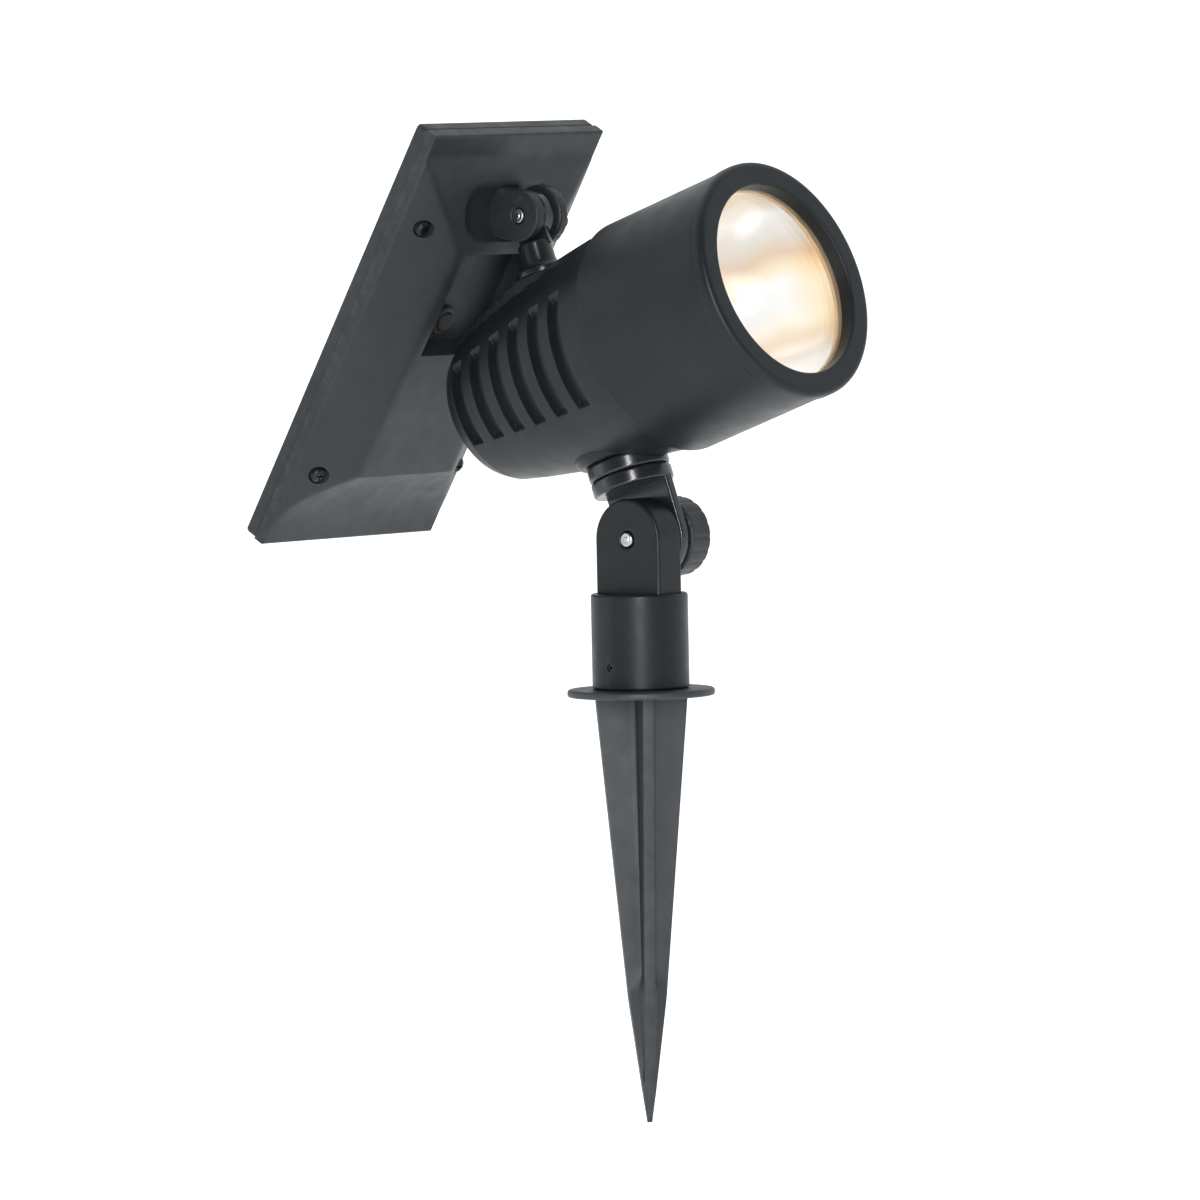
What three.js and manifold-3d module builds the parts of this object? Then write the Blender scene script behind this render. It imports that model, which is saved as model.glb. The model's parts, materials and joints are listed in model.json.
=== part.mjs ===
// Solar garden spotlight on a ground stake: a stake with a pivot post, a lamp head
// that tilts and turns on it, and a solar panel that tilts on the lamp's neck.
//
// Millimetres, +Z up. The origin is on the stake's axis, on the underside of its
// flange. The lamp points along -Y and both clamp pivots run along X.

import * as THREE from 'three';
import { mergeVertices } from 'three/addons/utils/BufferGeometryUtils.js';
import Module from 'manifold-3d';

// ---------- driving dimensions ----------

const GAP = 0.3; // clearance between pieces that touch
const DEG = Math.PI / 180;

const STAKE_LENGTH = 172;
const FLANGE_RADIUS = 29.7;
const FLANGE_THICKNESS = 3;
const FIN_TURN = 48 * DEG; // the stake's fins, turned against the pivot post

const SOCKET_RADIUS = 19.5;
const SOCKET_BORE = 16.3;
const SOCKET_TOP = 41.4;
const SET_SCREW_HEIGHT = 12.3;

const PIVOT_HEIGHT = 63; // lower pivot above the flange's underside
const POST_RADIUS = 16.4;
const POST_HALF = 7.5; // half the post's thickness along the pivot
const PLATE_OUTER = 12.3; // outer face of the knuckle's plate, beside the post
const BOLT_RADIUS = 3;
const BOLT_BORE = 3.3;

const LAMP_TILT = 19.4 * DEG;
const LAMP_OFFSET = 7; // lamp's centreline beside the stake's axis
const LAMP_REACH = 103.2; // lower pivot behind the lamp's front face, along its axis
const LAMP_DROP = 74.3; // lower pivot below the lamp's axis
const LAMP_RADIUS = 49.4;
const SHROUD_RADIUS = 48.9;
const SHROUD_LENGTH = 69;
const LAMP_LENGTH = 163;
const SWIVEL_RADIUS = 16.7; // the knuckle's head and the locknut above it
const KNUCKLE_HEAD = [-53.4, -47.4]; // underside and top, against the lamp's axis
const LOCKNUT = [-47.1, -40.9];
const SWIVEL_SEAT = -40.6; // flat seat in the lamp's underside
const LENS_OPENING = 39.5;
const SPINE_HALF_WIDTH = 12;
const NECK_PAD_HEIGHT = 42.3; // flat on the lamp's spine, above the lamp's axis

const LED_SCREW_SIDES = [-18, 18];

const PANEL_PIVOT_BACK = 117.6; // upper pivot behind the lamp's front face
const PANEL_PIVOT_RISE = 68.4; // upper pivot above the lamp's axis
const PANEL_LEAN = 30.5 * DEG; // the panel's long side, back from vertical
const PANEL_EAR_RADIUS = 10.5;
const PANEL_EAR = [-5.2, 0]; // the ear's two faces along X
const NECK_PLATE = [0.3, 5.2]; // the neck plate's two faces, beside the ear
const RELIEF = { radius: 14.2, from: -20, to: 21 }; // trough round the upper pivot
const PANEL_WIDTH = 106.4;
const PANEL_LENGTH = 192;
const PANEL_TOP = 27.6; // panel's top edge above the upper pivot, along its long side
const RIM_BACK = 18.2; // rim's back face behind the upper pivot
const RIM_SPLIT = RIM_BACK + 5.5; // joint between back cover and front frame
const PANEL_FACE = RIM_BACK + 11.2; // front of the frame, towards the sun
const TOP_SLOPE = Math.atan2(15.4, 36.5); // the cover's top wedge against its rim
const SIDE_SLOPE = 1.67; // run of the cover's side slopes for each unit of depth
const COVER_WALL = 2.2;

// ---------- materials ----------

const finish = (color, roughness, metalness) =>
  new THREE.MeshStandardMaterial({ color, roughness, metalness });

const COATED_METAL = finish(0x2b2d30, 0.5, 0.3);
const BLACK_PLASTIC = finish(0x2a2c2f, 0.6, 0.0);
const GLOSS_BLACK = finish(0x232528, 0.25, 0.1);
const STEEL = finish(0xb9bbbd, 0.3, 1.0);
const RUBBER = finish(0x141414, 0.85, 0.0);
const GLASS = finish(0xdfe8ea, 0.05, 0.0);
const SOLAR_GLASS = finish(0x10182c, 0.12, 0.0);
const REFLECTOR_SILVER = finish(0xd9dadb, 0.12, 1.0);
const ALUMINIUM = finish(0xa9abad, 0.45, 0.9);
const PHOSPHOR = finish(0xffd27a, 0.5, 0.0);
const CIRCUIT_GREEN = finish(0x1f5a35, 0.5, 0.0);
const CELL_SLEEVE = finish(0x2f6f8f, 0.4, 0.0);
const CABLE_SHEATH = finish(0x18191a, 0.6, 0.0);

// ---------- solid modelling helpers ----------

const wasm = await Module();
wasm.setup();

// One watertight skin: shared vertices merged and faces turned outwards.
function closed(geometry) {
  const skin = geometry.clone();
  skin.deleteAttribute('normal');
  skin.deleteAttribute('uv');
  const merged = mergeVertices(skin, 1e-4);
  const index = [];
  for (let i = 0; i < merged.index.count; i += 3) {
    const corners = [merged.index.getX(i), merged.index.getX(i + 1), merged.index.getX(i + 2)];
    if (new Set(corners).size === 3) index.push(...corners);
  }
  if (volumeOf(merged.attributes.position, index) < 0) index.reverse();
  merged.setIndex(index);
  return merged;
}

function volumeOf(position, index) {
  const [a, b, c] = [new THREE.Vector3(), new THREE.Vector3(), new THREE.Vector3()];
  let total = 0;
  for (let i = 0; i < index.length; i += 3) {
    a.fromBufferAttribute(position, index[i]);
    b.fromBufferAttribute(position, index[i + 1]);
    c.fromBufferAttribute(position, index[i + 2]);
    total += a.dot(b.cross(c)) / 6;
  }
  return total;
}

function toManifold(geometry) {
  const skin = closed(geometry);
  const vertProperties = new Float32Array(skin.attributes.position.array);
  const triVerts = new Uint32Array(skin.index.array);
  return new wasm.Manifold(new wasm.Mesh({ numProp: 3, vertProperties, triVerts }));
}

function fromManifold(solid) {
  const mesh = solid.getMesh();
  const geometry = new THREE.BufferGeometry();
  geometry.setAttribute('position', new THREE.BufferAttribute(new Float32Array(mesh.vertProperties), 3));
  geometry.setIndex(new THREE.BufferAttribute(new Uint32Array(mesh.triVerts), 1));
  return geometry;
}

const combine = (how, first, rest) =>
  fromManifold(rest.reduce((solid, next) => solid[how](toManifold(next)), toManifold(first)));

const join = (first, ...rest) => combine('add', first, rest);
const cut = (first, ...rest) => combine('subtract', first, rest);
const common = (first, ...rest) => combine('intersect', first, rest);

// A box given by its low and high corners.
function block(low, high) {
  const size = high.map((value, axis) => value - low[axis]);
  const middle = high.map((value, axis) => (value + low[axis]) / 2);
  return new THREE.BoxGeometry(...size).translate(...middle);
}

// Rods along each axis, from one end to the other.
function rodX(radius, from, to, y = 0, z = 0, sides = 24) {
  const rod = new THREE.CylinderGeometry(radius, radius, to - from, sides);
  return rod.rotateZ(Math.PI / 2).translate((from + to) / 2, y, z);
}

function rodY(radius, from, to, x = 0, z = 0, sides = 24) {
  return new THREE.CylinderGeometry(radius, radius, to - from, sides).translate(x, (from + to) / 2, z);
}

function rodZ(radius, from, to, x = 0, y = 0, sides = 24) {
  const rod = new THREE.CylinderGeometry(radius, radius, to - from, sides);
  return rod.rotateX(Math.PI / 2).translate(x, y, (from + to) / 2);
}

// A body of revolution about Y from [radius, y] points; about Z with `upright`.
function turned(profile, sides = 48) {
  return new THREE.LatheGeometry(profile.map(([radius, y]) => new THREE.Vector2(radius, y)), sides);
}

const upright = (geometry) => geometry.rotateX(Math.PI / 2);

// A rectangular section turned into a ring about Y.
function ringY(inner, outer, from, to, sides = 48) {
  return turned([[inner, from], [outer, from], [outer, to], [inner, to], [inner, from]], sides);
}

const ringZ = (inner, outer, from, to, sides = 36) => upright(ringY(inner, outer, from, to, sides));
const ringX = (inner, outer, from, to, sides = 32) =>
  ringY(inner, outer, from, to, sides).rotateZ(-Math.PI / 2);

function shapeOf(points) {
  return new THREE.Shape(points.map(([u, v]) => new THREE.Vector2(u, v)));
}

// A [y, z] outline pushed along X.
function alongX(shape, from, to, curveSegments = 12) {
  const solid = new THREE.ExtrudeGeometry(shape, { depth: to - from, bevelEnabled: false, curveSegments });
  return solid.rotateX(Math.PI / 2).rotateZ(Math.PI / 2).translate(from, 0, 0);
}

// An [x, y] outline pushed along Z.
function alongZ(shape, from, to, curveSegments = 12) {
  const solid = new THREE.ExtrudeGeometry(shape, { depth: to - from, bevelEnabled: false, curveSegments });
  return solid.translate(0, 0, from);
}

// A flat tab round a pivot: a half circle of `radius` and straight sides that
// run `reach` along the [y, z] direction `towards`.
function tab(radius, reach, towards) {
  const start = towards + Math.PI / 2;
  const shape = new THREE.Shape();
  shape.absarc(0, 0, radius, start, start + Math.PI, false);
  const [dy, dz] = [Math.cos(towards) * reach, Math.sin(towards) * reach];
  shape.lineTo(radius * Math.cos(start + Math.PI) + dy, radius * Math.sin(start + Math.PI) + dz);
  shape.lineTo(radius * Math.cos(start) + dy, radius * Math.sin(start) + dz);
  shape.closePath();
  return shape;
}

// A short lead along a smooth curve through the given points.
function lead(points, radius, steps) {
  const section = new THREE.Shape();
  section.absarc(0, 0, radius, 0, 2 * Math.PI, false);
  const path = new THREE.CatmullRomCurve3(points.map((point) => new THREE.Vector3(...point)));
  return new THREE.ExtrudeGeometry(section, { extrudePath: path, steps, curveSegments: 4 });
}

function piece(group, name, geometry, material) {
  const skin = closed(geometry);
  skin.computeVertexNormals();
  const mesh = new THREE.Mesh(skin, material);
  mesh.name = name;
  group.add(mesh);
}

// ---------- stake and post ----------

// Four long fins that run to a point, a solid four-sided tip, the flange and
// the spigot that the post's socket sits on.
function groundStake() {
  const waist = { half: 7.7, z: -122 };
  const finTop = 18.7;
  const finThickness = 4.6;
  const root = 1.5; // how far the fins run up into the flange
  const outline = shapeOf([
    [-finTop, root], [finTop, root], [finTop, 0], [waist.half, waist.z], [1, -STAKE_LENGTH],
    [-1, -STAKE_LENGTH], [-waist.half, waist.z], [-finTop, 0],
  ]);
  const fin = alongX(outline, -finThickness / 2, finThickness / 2);
  const crossFin = fin.clone().rotateZ(Math.PI / 2);
  const core = new THREE.CylinderGeometry(4.6, 3.4, 118 + root, 8).rotateX(Math.PI / 2);
  core.translate(0, 0, (root - 118) / 2);
  const point = new THREE.CylinderGeometry(6.6, 0.9, 55, 4).rotateX(Math.PI / 2);
  point.rotateZ(Math.PI / 4).translate(0, 0, -144.3);
  const envelope = upright(turned([
    [0, -STAKE_LENGTH], [0.9, -STAKE_LENGTH], [4.6, -150], [30, -90], [30, root], [0, root],
  ], 16));
  const blade = common(join(fin, crossFin, core, point), envelope);
  const flange = upright(turned([
    [0, 0], [FLANGE_RADIUS - 0.6, 0], [FLANGE_RADIUS, 0.7], [FLANGE_RADIUS, FLANGE_THICKNESS - 0.8],
    [FLANGE_RADIUS - 1, FLANGE_THICKNESS], [0, FLANGE_THICKNESS],
  ], 48));
  const spigot = rodZ(SOCKET_BORE - GAP, FLANGE_THICKNESS - 0.1, 29, 0, 0, 28);
  const hollow = rodZ(SOCKET_BORE - 3.3, FLANGE_THICKNESS + 1, 30, 0, 0, 28);
  const screwHole = rodX(2, -20, -10, 0, SET_SCREW_HEIGHT, 10).rotateZ(-FIN_TURN);
  return cut(join(flange, blade, spigot), hollow, screwHole).rotateZ(FIN_TURN);
}

// A socket that turns into a thick, round-topped pivot post.
function pivotPost() {
  const socket = upright(turned([
    [0, FLANGE_THICKNESS + GAP], [SOCKET_RADIUS - 0.5, FLANGE_THICKNESS + GAP],
    [SOCKET_RADIUS, FLANGE_THICKNESS + 1], [SOCKET_RADIUS, SOCKET_TOP - 1],
    [SOCKET_RADIUS - 1, SOCKET_TOP], [0, SOCKET_TOP],
  ], 40));
  const bore = rodZ(SOCKET_BORE, FLANGE_THICKNESS, 30, 0, 0, 28);
  const outline = tab(POST_RADIUS, PIVOT_HEIGHT - SOCKET_TOP + 2, -Math.PI / 2);
  const post = alongX(outline, -POST_HALF, POST_HALF, 16);
  const boltBore = rodX(BOLT_BORE, -20, 20, 0, PIVOT_HEIGHT, 16);
  const screwHole = rodX(1.6, -25, -15, 0, SET_SCREW_HEIGHT, 10);
  return cut(join(socket, post.translate(0, 0, PIVOT_HEIGHT)), bore, boltBore, screwHole);
}

// A grub screw with a hexagon socket in its outer end.
function setScrew() {
  const shank = rodX(1.35, -SOCKET_RADIUS + 0.6, -13.6, 0, SET_SCREW_HEIGHT, 12);
  const socket = rodX(0.8, -SOCKET_RADIUS, -SOCKET_RADIUS + 2.4, 0, SET_SCREW_HEIGHT, 6);
  return cut(shank, socket);
}

// A pivot bolt along X: a domed end at the left and a plain threaded end.
function pivotBolt(left, right, y, z) {
  const bolt = turned([[0, left], [BOLT_RADIUS - 0.6, left], [BOLT_RADIUS, left + 0.5],
    [BOLT_RADIUS, right - 0.5], [BOLT_RADIUS - 0.5, right], [0, right]], 16);
  return bolt.rotateZ(-Math.PI / 2).translate(0, y, z);
}

// A clamp knob on +X: a plain hub and a fluted grip with a blind bore.
function clampKnob({ radius, hubRadius, hubFrom, gripFrom, gripTo, boreTo, flutes }) {
  const grip = new THREE.Shape();
  const depth = radius * 0.055;
  for (let i = 0; i <= flutes * 4; i += 1) {
    const angle = (i / (flutes * 4)) * 2 * Math.PI;
    const reach = radius - (i % 4 === 0 ? depth : 0);
    if (i === 0) grip.moveTo(reach, 0);
    else grip.lineTo(reach * Math.cos(angle), reach * Math.sin(angle));
  }
  const rim = alongX(grip, gripFrom, gripTo);
  const crown = turned([[0, gripTo - 0.1], [radius * 0.9, gripTo - 0.1], [radius * 0.82, gripTo + 0.8],
    [0, gripTo + 0.8]], 24).rotateZ(-Math.PI / 2);
  const hub = rodX(hubRadius, hubFrom, gripFrom + 0.1, 0, 0, 20);
  return cut(join(rim, crown, hub), rodX(BOLT_BORE, hubFrom - 1, boreTo, 0, 0, 16));
}

function addStake(light) {
  piece(light, 'ground_stake', groundStake(), BLACK_PLASTIC);
  piece(light, 'pivot_post', pivotPost(), COATED_METAL);
  piece(light, 'post_set_screw', setScrew(), STEEL);
  piece(light, 'lower_pivot_bolt', pivotBolt(-POST_HALF - 0.5, 22, 0, PIVOT_HEIGHT), STEEL);
  const pivot = new THREE.Group();
  pivot.position.z = PIVOT_HEIGHT;
  light.add(pivot);
  piece(pivot, 'lower_washer', ringX(BOLT_BORE, 8.5, PLATE_OUTER + GAP, PLATE_OUTER + 1.3, 20), STEEL);
  piece(pivot, 'lower_clamp_knob', clampKnob({
    radius: 16.1, hubRadius: 8, hubFrom: PLATE_OUTER + 1.6, gripFrom: 15, gripTo: 27, boreTo: 23, flutes: 18,
  }), BLACK_PLASTIC);
}

// ---------- lamp head: local x across, y back from the front face, z above the axis ----------

// The knuckle: a round-ended plate beside the post, a base ring above it and a
// hollow stem up into the lamp.
function headKnuckle() {
  const reach = LAMP_DROP + KNUCKLE_HEAD[0] + 1;
  const faces = [POST_HALF + GAP - LAMP_OFFSET, PLATE_OUTER - LAMP_OFFSET];
  const plate = alongX(tab(POST_RADIUS, reach, Math.PI / 2), ...faces, 16);
  const [low, high] = KNUCKLE_HEAD;
  const head = upright(turned([[0, low], ...swivelEdge(low, high), [0, high]], 36));
  const stem = rodZ(7, KNUCKLE_HEAD[1] - 0.5, -29, 0, 0, 20);
  const boltBore = rodX(BOLT_BORE, -20, 20, 0, -LAMP_DROP, 16);
  return cut(join(plate.translate(0, 0, -LAMP_DROP), head, stem), boltBore).translate(0, LAMP_REACH, 0);
}

// The rounded rim that the knuckle's head and the locknut share.
const swivelEdge = (low, high) => [
  [SWIVEL_RADIUS - 0.8, low], [SWIVEL_RADIUS, low + 0.8],
  [SWIVEL_RADIUS, high - 0.8], [SWIVEL_RADIUS - 0.8, high],
];

function swivelLocknut() {
  const [low, high] = LOCKNUT;
  const ring = turned([[7.3, low], ...swivelEdge(low, high), [7.3, high], [7.3, low]], 36);
  return upright(ring).translate(0, LAMP_REACH, 0);
}

const stemRetainer = () => ringZ(7.3, 11, -32.4, -29.8, 24).translate(0, LAMP_REACH, 0);

// Outer radius of the tapering rear casting, point by point from its front.
const REAR_PROFILE = [
  [46.9, 57], [46.9, 71], [46, 78], [44.5, 88], [41.9, 106], [38.5, 125], [34.2, 145], [31.4, 156],
  [28.6, 161], [24.5, LAMP_LENGTH],
];

// The rear casting: a tapering shell with a flat spine on top, a round boss
// underneath and rows of cooling slots on both sides.
function rearHousing() {
  const wall = 4.6;
  const floorAt = LAMP_LENGTH - 4;
  const inside = REAR_PROFILE.filter(([, s]) => s < 157).map(([radius, s]) => [radius - wall, s]);
  const outer = turned([[0, 57], ...REAR_PROFILE, [0, LAMP_LENGTH]], 48);
  const mouth = REAR_PROFILE[0][0] - wall;
  const hollow = turned([[0, 56], [mouth, 56], ...inside, [25, floorAt], [0, floorAt]], 32);
  const spine = alongX(shapeOf([
    [80, 20], [80, 45.4], [100, 43.2], [104, NECK_PAD_HEIGHT], [125, NECK_PAD_HEIGHT], [128, 41],
    [147, 35], [160.5, 30.6], [LAMP_LENGTH, 28], [LAMP_LENGTH, 20],
  ]), -SPINE_HALF_WIDTH, SPINE_HALF_WIDTH);
  const boss = upright(turned([
    [0, SWIVEL_SEAT], [18.4, SWIVEL_SEAT], [20.5, -38.4], [20.5, -34], [0, -34],
  ], 36)).translate(0, LAMP_REACH, 0);
  const pocket = rodZ(SWIVEL_RADIUS + 0.6, -60, SWIVEL_SEAT, 0, LAMP_REACH, 36);
  const stemBore = rodZ(7.3, -60, -20, 0, LAMP_REACH, 20);
  const leadBore = rodZ(2.6, 25, 60, 0, PANEL_PIVOT_BACK, 12);
  const body = cut(join(outer, spine, boss), hollow, pocket, stemBore, leadBore);
  return cut(body, ...coolingSlots());
}

// Shallow slots round both sides, from 30 degrees below the axis to 32 above.
function coolingSlots() {
  const [first, pitch, width, depth, count] = [82, 13.2, 7.2, 2.4, 6];
  const side = [[0, 0], [80, -80 * Math.tan(30 * DEG)], [80, 80 * Math.tan(32 * DEG)]];
  const wedge = (sign) => {
    const shape = shapeOf(side.map(([x, z]) => [sign * x, -z]));
    return alongZ(shape, 60, 170).rotateX(-Math.PI / 2);
  };
  const wedges = [wedge(1), wedge(-1)];
  const slots = [];
  for (let i = 0; i < count; i += 1) {
    const from = first + pitch * i;
    const rib = [[radiusAt(from) - depth, from], [60, from], [60, from + width],
      [radiusAt(from + width) - depth, from + width], [radiusAt(from) - depth, from]];
    wedges.forEach((half) => slots.push(common(turned(rib, 48), half)));
  }
  return slots;
}

function radiusAt(s) {
  const after = REAR_PROFILE.findIndex(([, at]) => at >= s);
  const [r1, s1] = REAR_PROFILE[Math.max(after, 1)];
  const [r0, s0] = REAR_PROFILE[Math.max(after, 1) - 1];
  return r0 + ((r1 - r0) * (s - s0)) / (s1 - s0);
}

function frontShroud() {
  return turned([
    [47.2, 6.2], [SHROUD_RADIUS - 0.4, 6.2], [SHROUD_RADIUS, 6.7], [SHROUD_RADIUS, 65],
    [SHROUD_RADIUS - 0.4, 67.2],
    [48, SHROUD_LENGTH - 0.3], [47.2, SHROUD_LENGTH], [47.2, 6.2],
  ], 56);
}

// The bezel screws into the shroud and carries the glass in its skirt.
function bezelRing() {
  return turned([
    [LENS_OPENING, 1], [LENS_OPENING + 1, 0], [LAMP_RADIUS - 1.6, 0], [LAMP_RADIUS, 1.4], [LAMP_RADIUS, 5.9],
    [46.9, 5.9], [46.9, 14], [43.2, 14], [43.2, 6.4], [LENS_OPENING, 6.4], [LENS_OPENING, 1],
  ], 56);
}

// A deep bowl with a rolled front rim and an open back for the light source.
function reflector() {
  const steps = 5;
  const bowl = (offset) => Array.from({ length: steps + 1 }, (_, i) => {
    const t = i / steps;
    return [10.5 + offset + (39.5 - 10.5) * Math.sqrt(1 - t), 15 + 37 * t];
  });
  const inner = bowl(0);
  const outer = bowl(1.4).reverse();
  return turned([[39.5, 12], ...inner, ...outer, [42.6, 15], [42.6, 12], [39.5, 12]], 36);
}

function ledBoard() {
  const holes = LED_SCREW_SIDES.map((x) => rodY(1.6, 50, 60, x, 0, 12));
  return cut(rodY(22, 53, 54.6, 0, 0, 36), ...holes);
}

// A stepped disc that carries the light source and closes the rear casting.
function heatSinkPlate() {
  const plate = turned([[0, 55], [41.6, 55], [41.6, 60], [20, 60], [20, 67], [0, 67]], 32);
  const holes = LED_SCREW_SIDES.map((x) => rodY(1.6, 50, 61, x, 0, 12));
  return cut(plate, ...holes, rodY(2.6, 50, 70, 0, 31, 12));
}

function pcbScrew(x) {
  return join(rodY(2.7, 51.2, 52.7, x, 0, 12), rodY(1.2, 52.6, 59.5, x, 0, 12));
}

function driverBoard() {
  const board = block([-22, 78, -9], [22, 79.6, 15]);
  const choke = rodY(5, 79.5, 87, -11, 2, 16);
  const capacitor = rodY(4, 79.5, 90, 8, 4, 16);
  return join(board, choke, capacitor);
}

function driverStandoff(x) {
  return rodY(2.4, 67.3, 77.7, x, 0, 12);
}

// The neck: a collar on the lamp's spine and a round-ended plate beside the panel's ear.
function neckKnuckle() {
  const foot = NECK_PAD_HEIGHT + GAP - PANEL_PIVOT_RISE;
  const top = -PANEL_EAR_RADIUS - 1.5;
  const collar = upright(turned([
    [0, foot], [11.6, foot], [11.6, foot + 2.2], [10.8, foot + 2.9], [7.4, foot + 3.2], [7, foot + 6],
    [7, top - 0.8], [6.2, top], [0, top],
  ], 28));
  const plate = alongX(tab(10.2, 12, -Math.PI / 2), ...NECK_PLATE, 14);
  const shaped = common(plate, join(rodZ(7.6, top - 2, -6), rodX(10.2, -10, 10)));
  const boltBore = rodX(BOLT_BORE, -20, 20, 0, 0, 16);
  const leadBore = rodZ(1.7, foot - 5, -12, 0, 0, 12);
  return cut(join(collar, shaped), boltBore, leadBore).translate(0, PANEL_PIVOT_BACK, PANEL_PIVOT_RISE);
}

function lampLead() {
  return lead([[-6, 81, 13], [-4, 90, 20], [0, 108, 24], [0, 115, 30], [0, PANEL_PIVOT_BACK, 42],
    [0, PANEL_PIVOT_BACK, 53]], 1.2, 12);
}

function addLamp(lamp) {
  piece(lamp, 'head_knuckle', headKnuckle(), COATED_METAL);
  piece(lamp, 'swivel_locknut', swivelLocknut(), GLOSS_BLACK);
  piece(lamp, 'stem_retainer', stemRetainer(), STEEL);
  piece(lamp, 'rear_housing', rearHousing(), COATED_METAL);
  piece(lamp, 'front_shroud', frontShroud(), COATED_METAL);
  piece(lamp, 'bezel_ring', bezelRing(), COATED_METAL);
  piece(lamp, 'shroud_seal', ringY(44.6, 46.7, 14.4, 16.2, 32), RUBBER);
  piece(lamp, 'lens_glass', rodY(42.8, 6.8, 9.8, 0, 0, 40), GLASS);
  piece(lamp, 'lens_gasket', ringY(40, 42.8, 10.1, 11.7, 32), RUBBER);
  piece(lamp, 'reflector', reflector(), REFLECTOR_SILVER);
  piece(lamp, 'led_emitter', rodY(8.5, 51.6, 52.7, 0, 0, 24), PHOSPHOR);
  piece(lamp, 'led_board', ledBoard(), ALUMINIUM);
  LED_SCREW_SIDES.forEach((x, i) => piece(lamp, `led_screw_${i + 1}`, pcbScrew(x), STEEL));
  piece(lamp, 'heat_sink_plate', heatSinkPlate(), ALUMINIUM);
  [-16, 16].forEach((x, i) => piece(lamp, `driver_standoff_${i + 1}`, driverStandoff(x), ALUMINIUM));
  piece(lamp, 'driver_board', driverBoard(), CIRCUIT_GREEN);
  piece(lamp, 'lamp_lead', lampLead(), CABLE_SHEATH);
  piece(lamp, 'neck_knuckle', neckKnuckle(), COATED_METAL);
}

// ---------- solar panel: local x across, y towards the sun, z up the long side ----------

const HALF_WIDTH = PANEL_WIDTH / 2;
const PANEL_BOTTOM = PANEL_TOP - PANEL_LENGTH;
const depthAt = (depth) => RIM_BACK - depth; // y of a point raised `depth` from the rim
const downAt = (distance) => PANEL_TOP - distance; // z of a point `distance` below the top edge

// The raised body's side view: a wedge at the top, a long back and a hollow
// quarter-round at the bottom. `skin` shrinks it for the inside.
function raisedSideView(skin) {
  const points = [[depthAt(-9), downAt(10 + 2.6 * skin)], [depthAt(0), downAt(10 + 2.6 * skin)],
    [depthAt(15.4 - skin), downAt(46.5 + skin * 0.4)], [depthAt(13.9 - skin), downAt(153 - skin)]];
  const cove = 36;
  const steps = 8;
  for (let i = 1; i <= steps; i += 1) {
    const t = i / steps;
    const depth = (13.9 - skin) * (1 - Math.sin((t * Math.PI) / 2)) ** 1.15;
    points.push([depthAt(depth), downAt(153 - skin + cove * t)]);
  }
  points.push([depthAt(-9), downAt(153 - skin + cove)]);
  return shapeOf(points);
}

// The raised body's section across the panel, with sloping sides.
function raisedSection(skin) {
  const half = HALF_WIDTH - skin * 1.9;
  return shapeOf([
    [-half - 9 * SIDE_SLOPE, depthAt(-9)], [-half + 18 * SIDE_SLOPE, depthAt(18)],
    [half - 18 * SIDE_SLOPE, depthAt(18)], [half + 9 * SIDE_SLOPE, depthAt(-9)],
  ]);
}

function raisedBody(skin, frontAt) {
  const side = alongX(raisedSideView(skin), -60, 60);
  const section = alongZ(raisedSection(skin), downAt(200), downAt(0));
  const half = HALF_WIDTH - skin * 2;
  return common(side, section, block([-half, -10, downAt(200)], [half, frontAt, downAt(0)]));
}

const RECESS = { half: 23.6, from: 47.6, to: 95, floor: 3 };
const SWITCH = { x: -5, down: 85 };
const LEAD_HOLE = -15.4; // the lead's hole in the top wedge, below the upper pivot
const COVER_SCREWS = [[-43.8, 40], [43.8, 40], [-43.8, 156], [43.8, 156]];

// The back cover: rim, raised battery body, the recess that clears the lamp, one
// ear for the neck and counterbored screw holes in the side slopes.
function backCover() {
  const rim = block([-HALF_WIDTH, RIM_BACK, PANEL_BOTTOM], [HALF_WIDTH, RIM_SPLIT - GAP, PANEL_TOP]);
  const lug = alongX(tab(PANEL_EAR_RADIUS, 16, -TOP_SLOPE), ...PANEL_EAR, 14);
  const ear = common(lug, rodX(RELIEF.radius + 1.6, -20, 20, 0, 0, 40));
  const outer = join(rim, raisedBody(0, RIM_BACK + 1));
  const recess = block([-RECESS.half, -20, downAt(RECESS.to)],
    [RECESS.half, depthAt(RECESS.floor), downAt(RECESS.from)]);
  const wall = block([-RECESS.half - 2, -20, downAt(RECESS.to + 2)],
    [RECESS.half + 2, depthAt(RECESS.floor - 2), downAt(RECESS.from - 2)]);
  const inner = raisedBody(COVER_WALL, RIM_BACK + 3);
  const well = block([-HALF_WIDTH + 4, RIM_BACK + 2, PANEL_BOTTOM + 4],
    [HALF_WIDTH - 4, RIM_SPLIT + 1, PANEL_TOP - 4]);
  const bosses = COVER_SCREWS.map(([x, down]) =>
    rodY(4.6, depthAt(10), RIM_SPLIT - GAP, x, downAt(down), 16));
  const towers = common(join(...bosses), raisedBody(0, RIM_SPLIT - GAP));
  const hollow = cut(join(inner, well), wall, towers, relief(2.2));
  const holes = COVER_SCREWS.flatMap(([x, down]) => [
    rodY(3.9, -10, depthAt(3), x, downAt(down), 16), rodY(1.8, 0, 40, x, downAt(down), 10)]);
  const boltBore = rodX(BOLT_BORE, -20, 20, 0, 0, 16);
  const switchHole = rodY(4.4, 10, 30, SWITCH.x, downAt(SWITCH.down), 20);
  const leadBore = rodY(1.8, 0, depthAt(-4), 0, LEAD_HOLE, 12);
  const body = cut(outer, hollow, recess, relief(0));
  return cut(join(body, ear), boltBore, switchHole, leadBore, ...holes);
}

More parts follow.
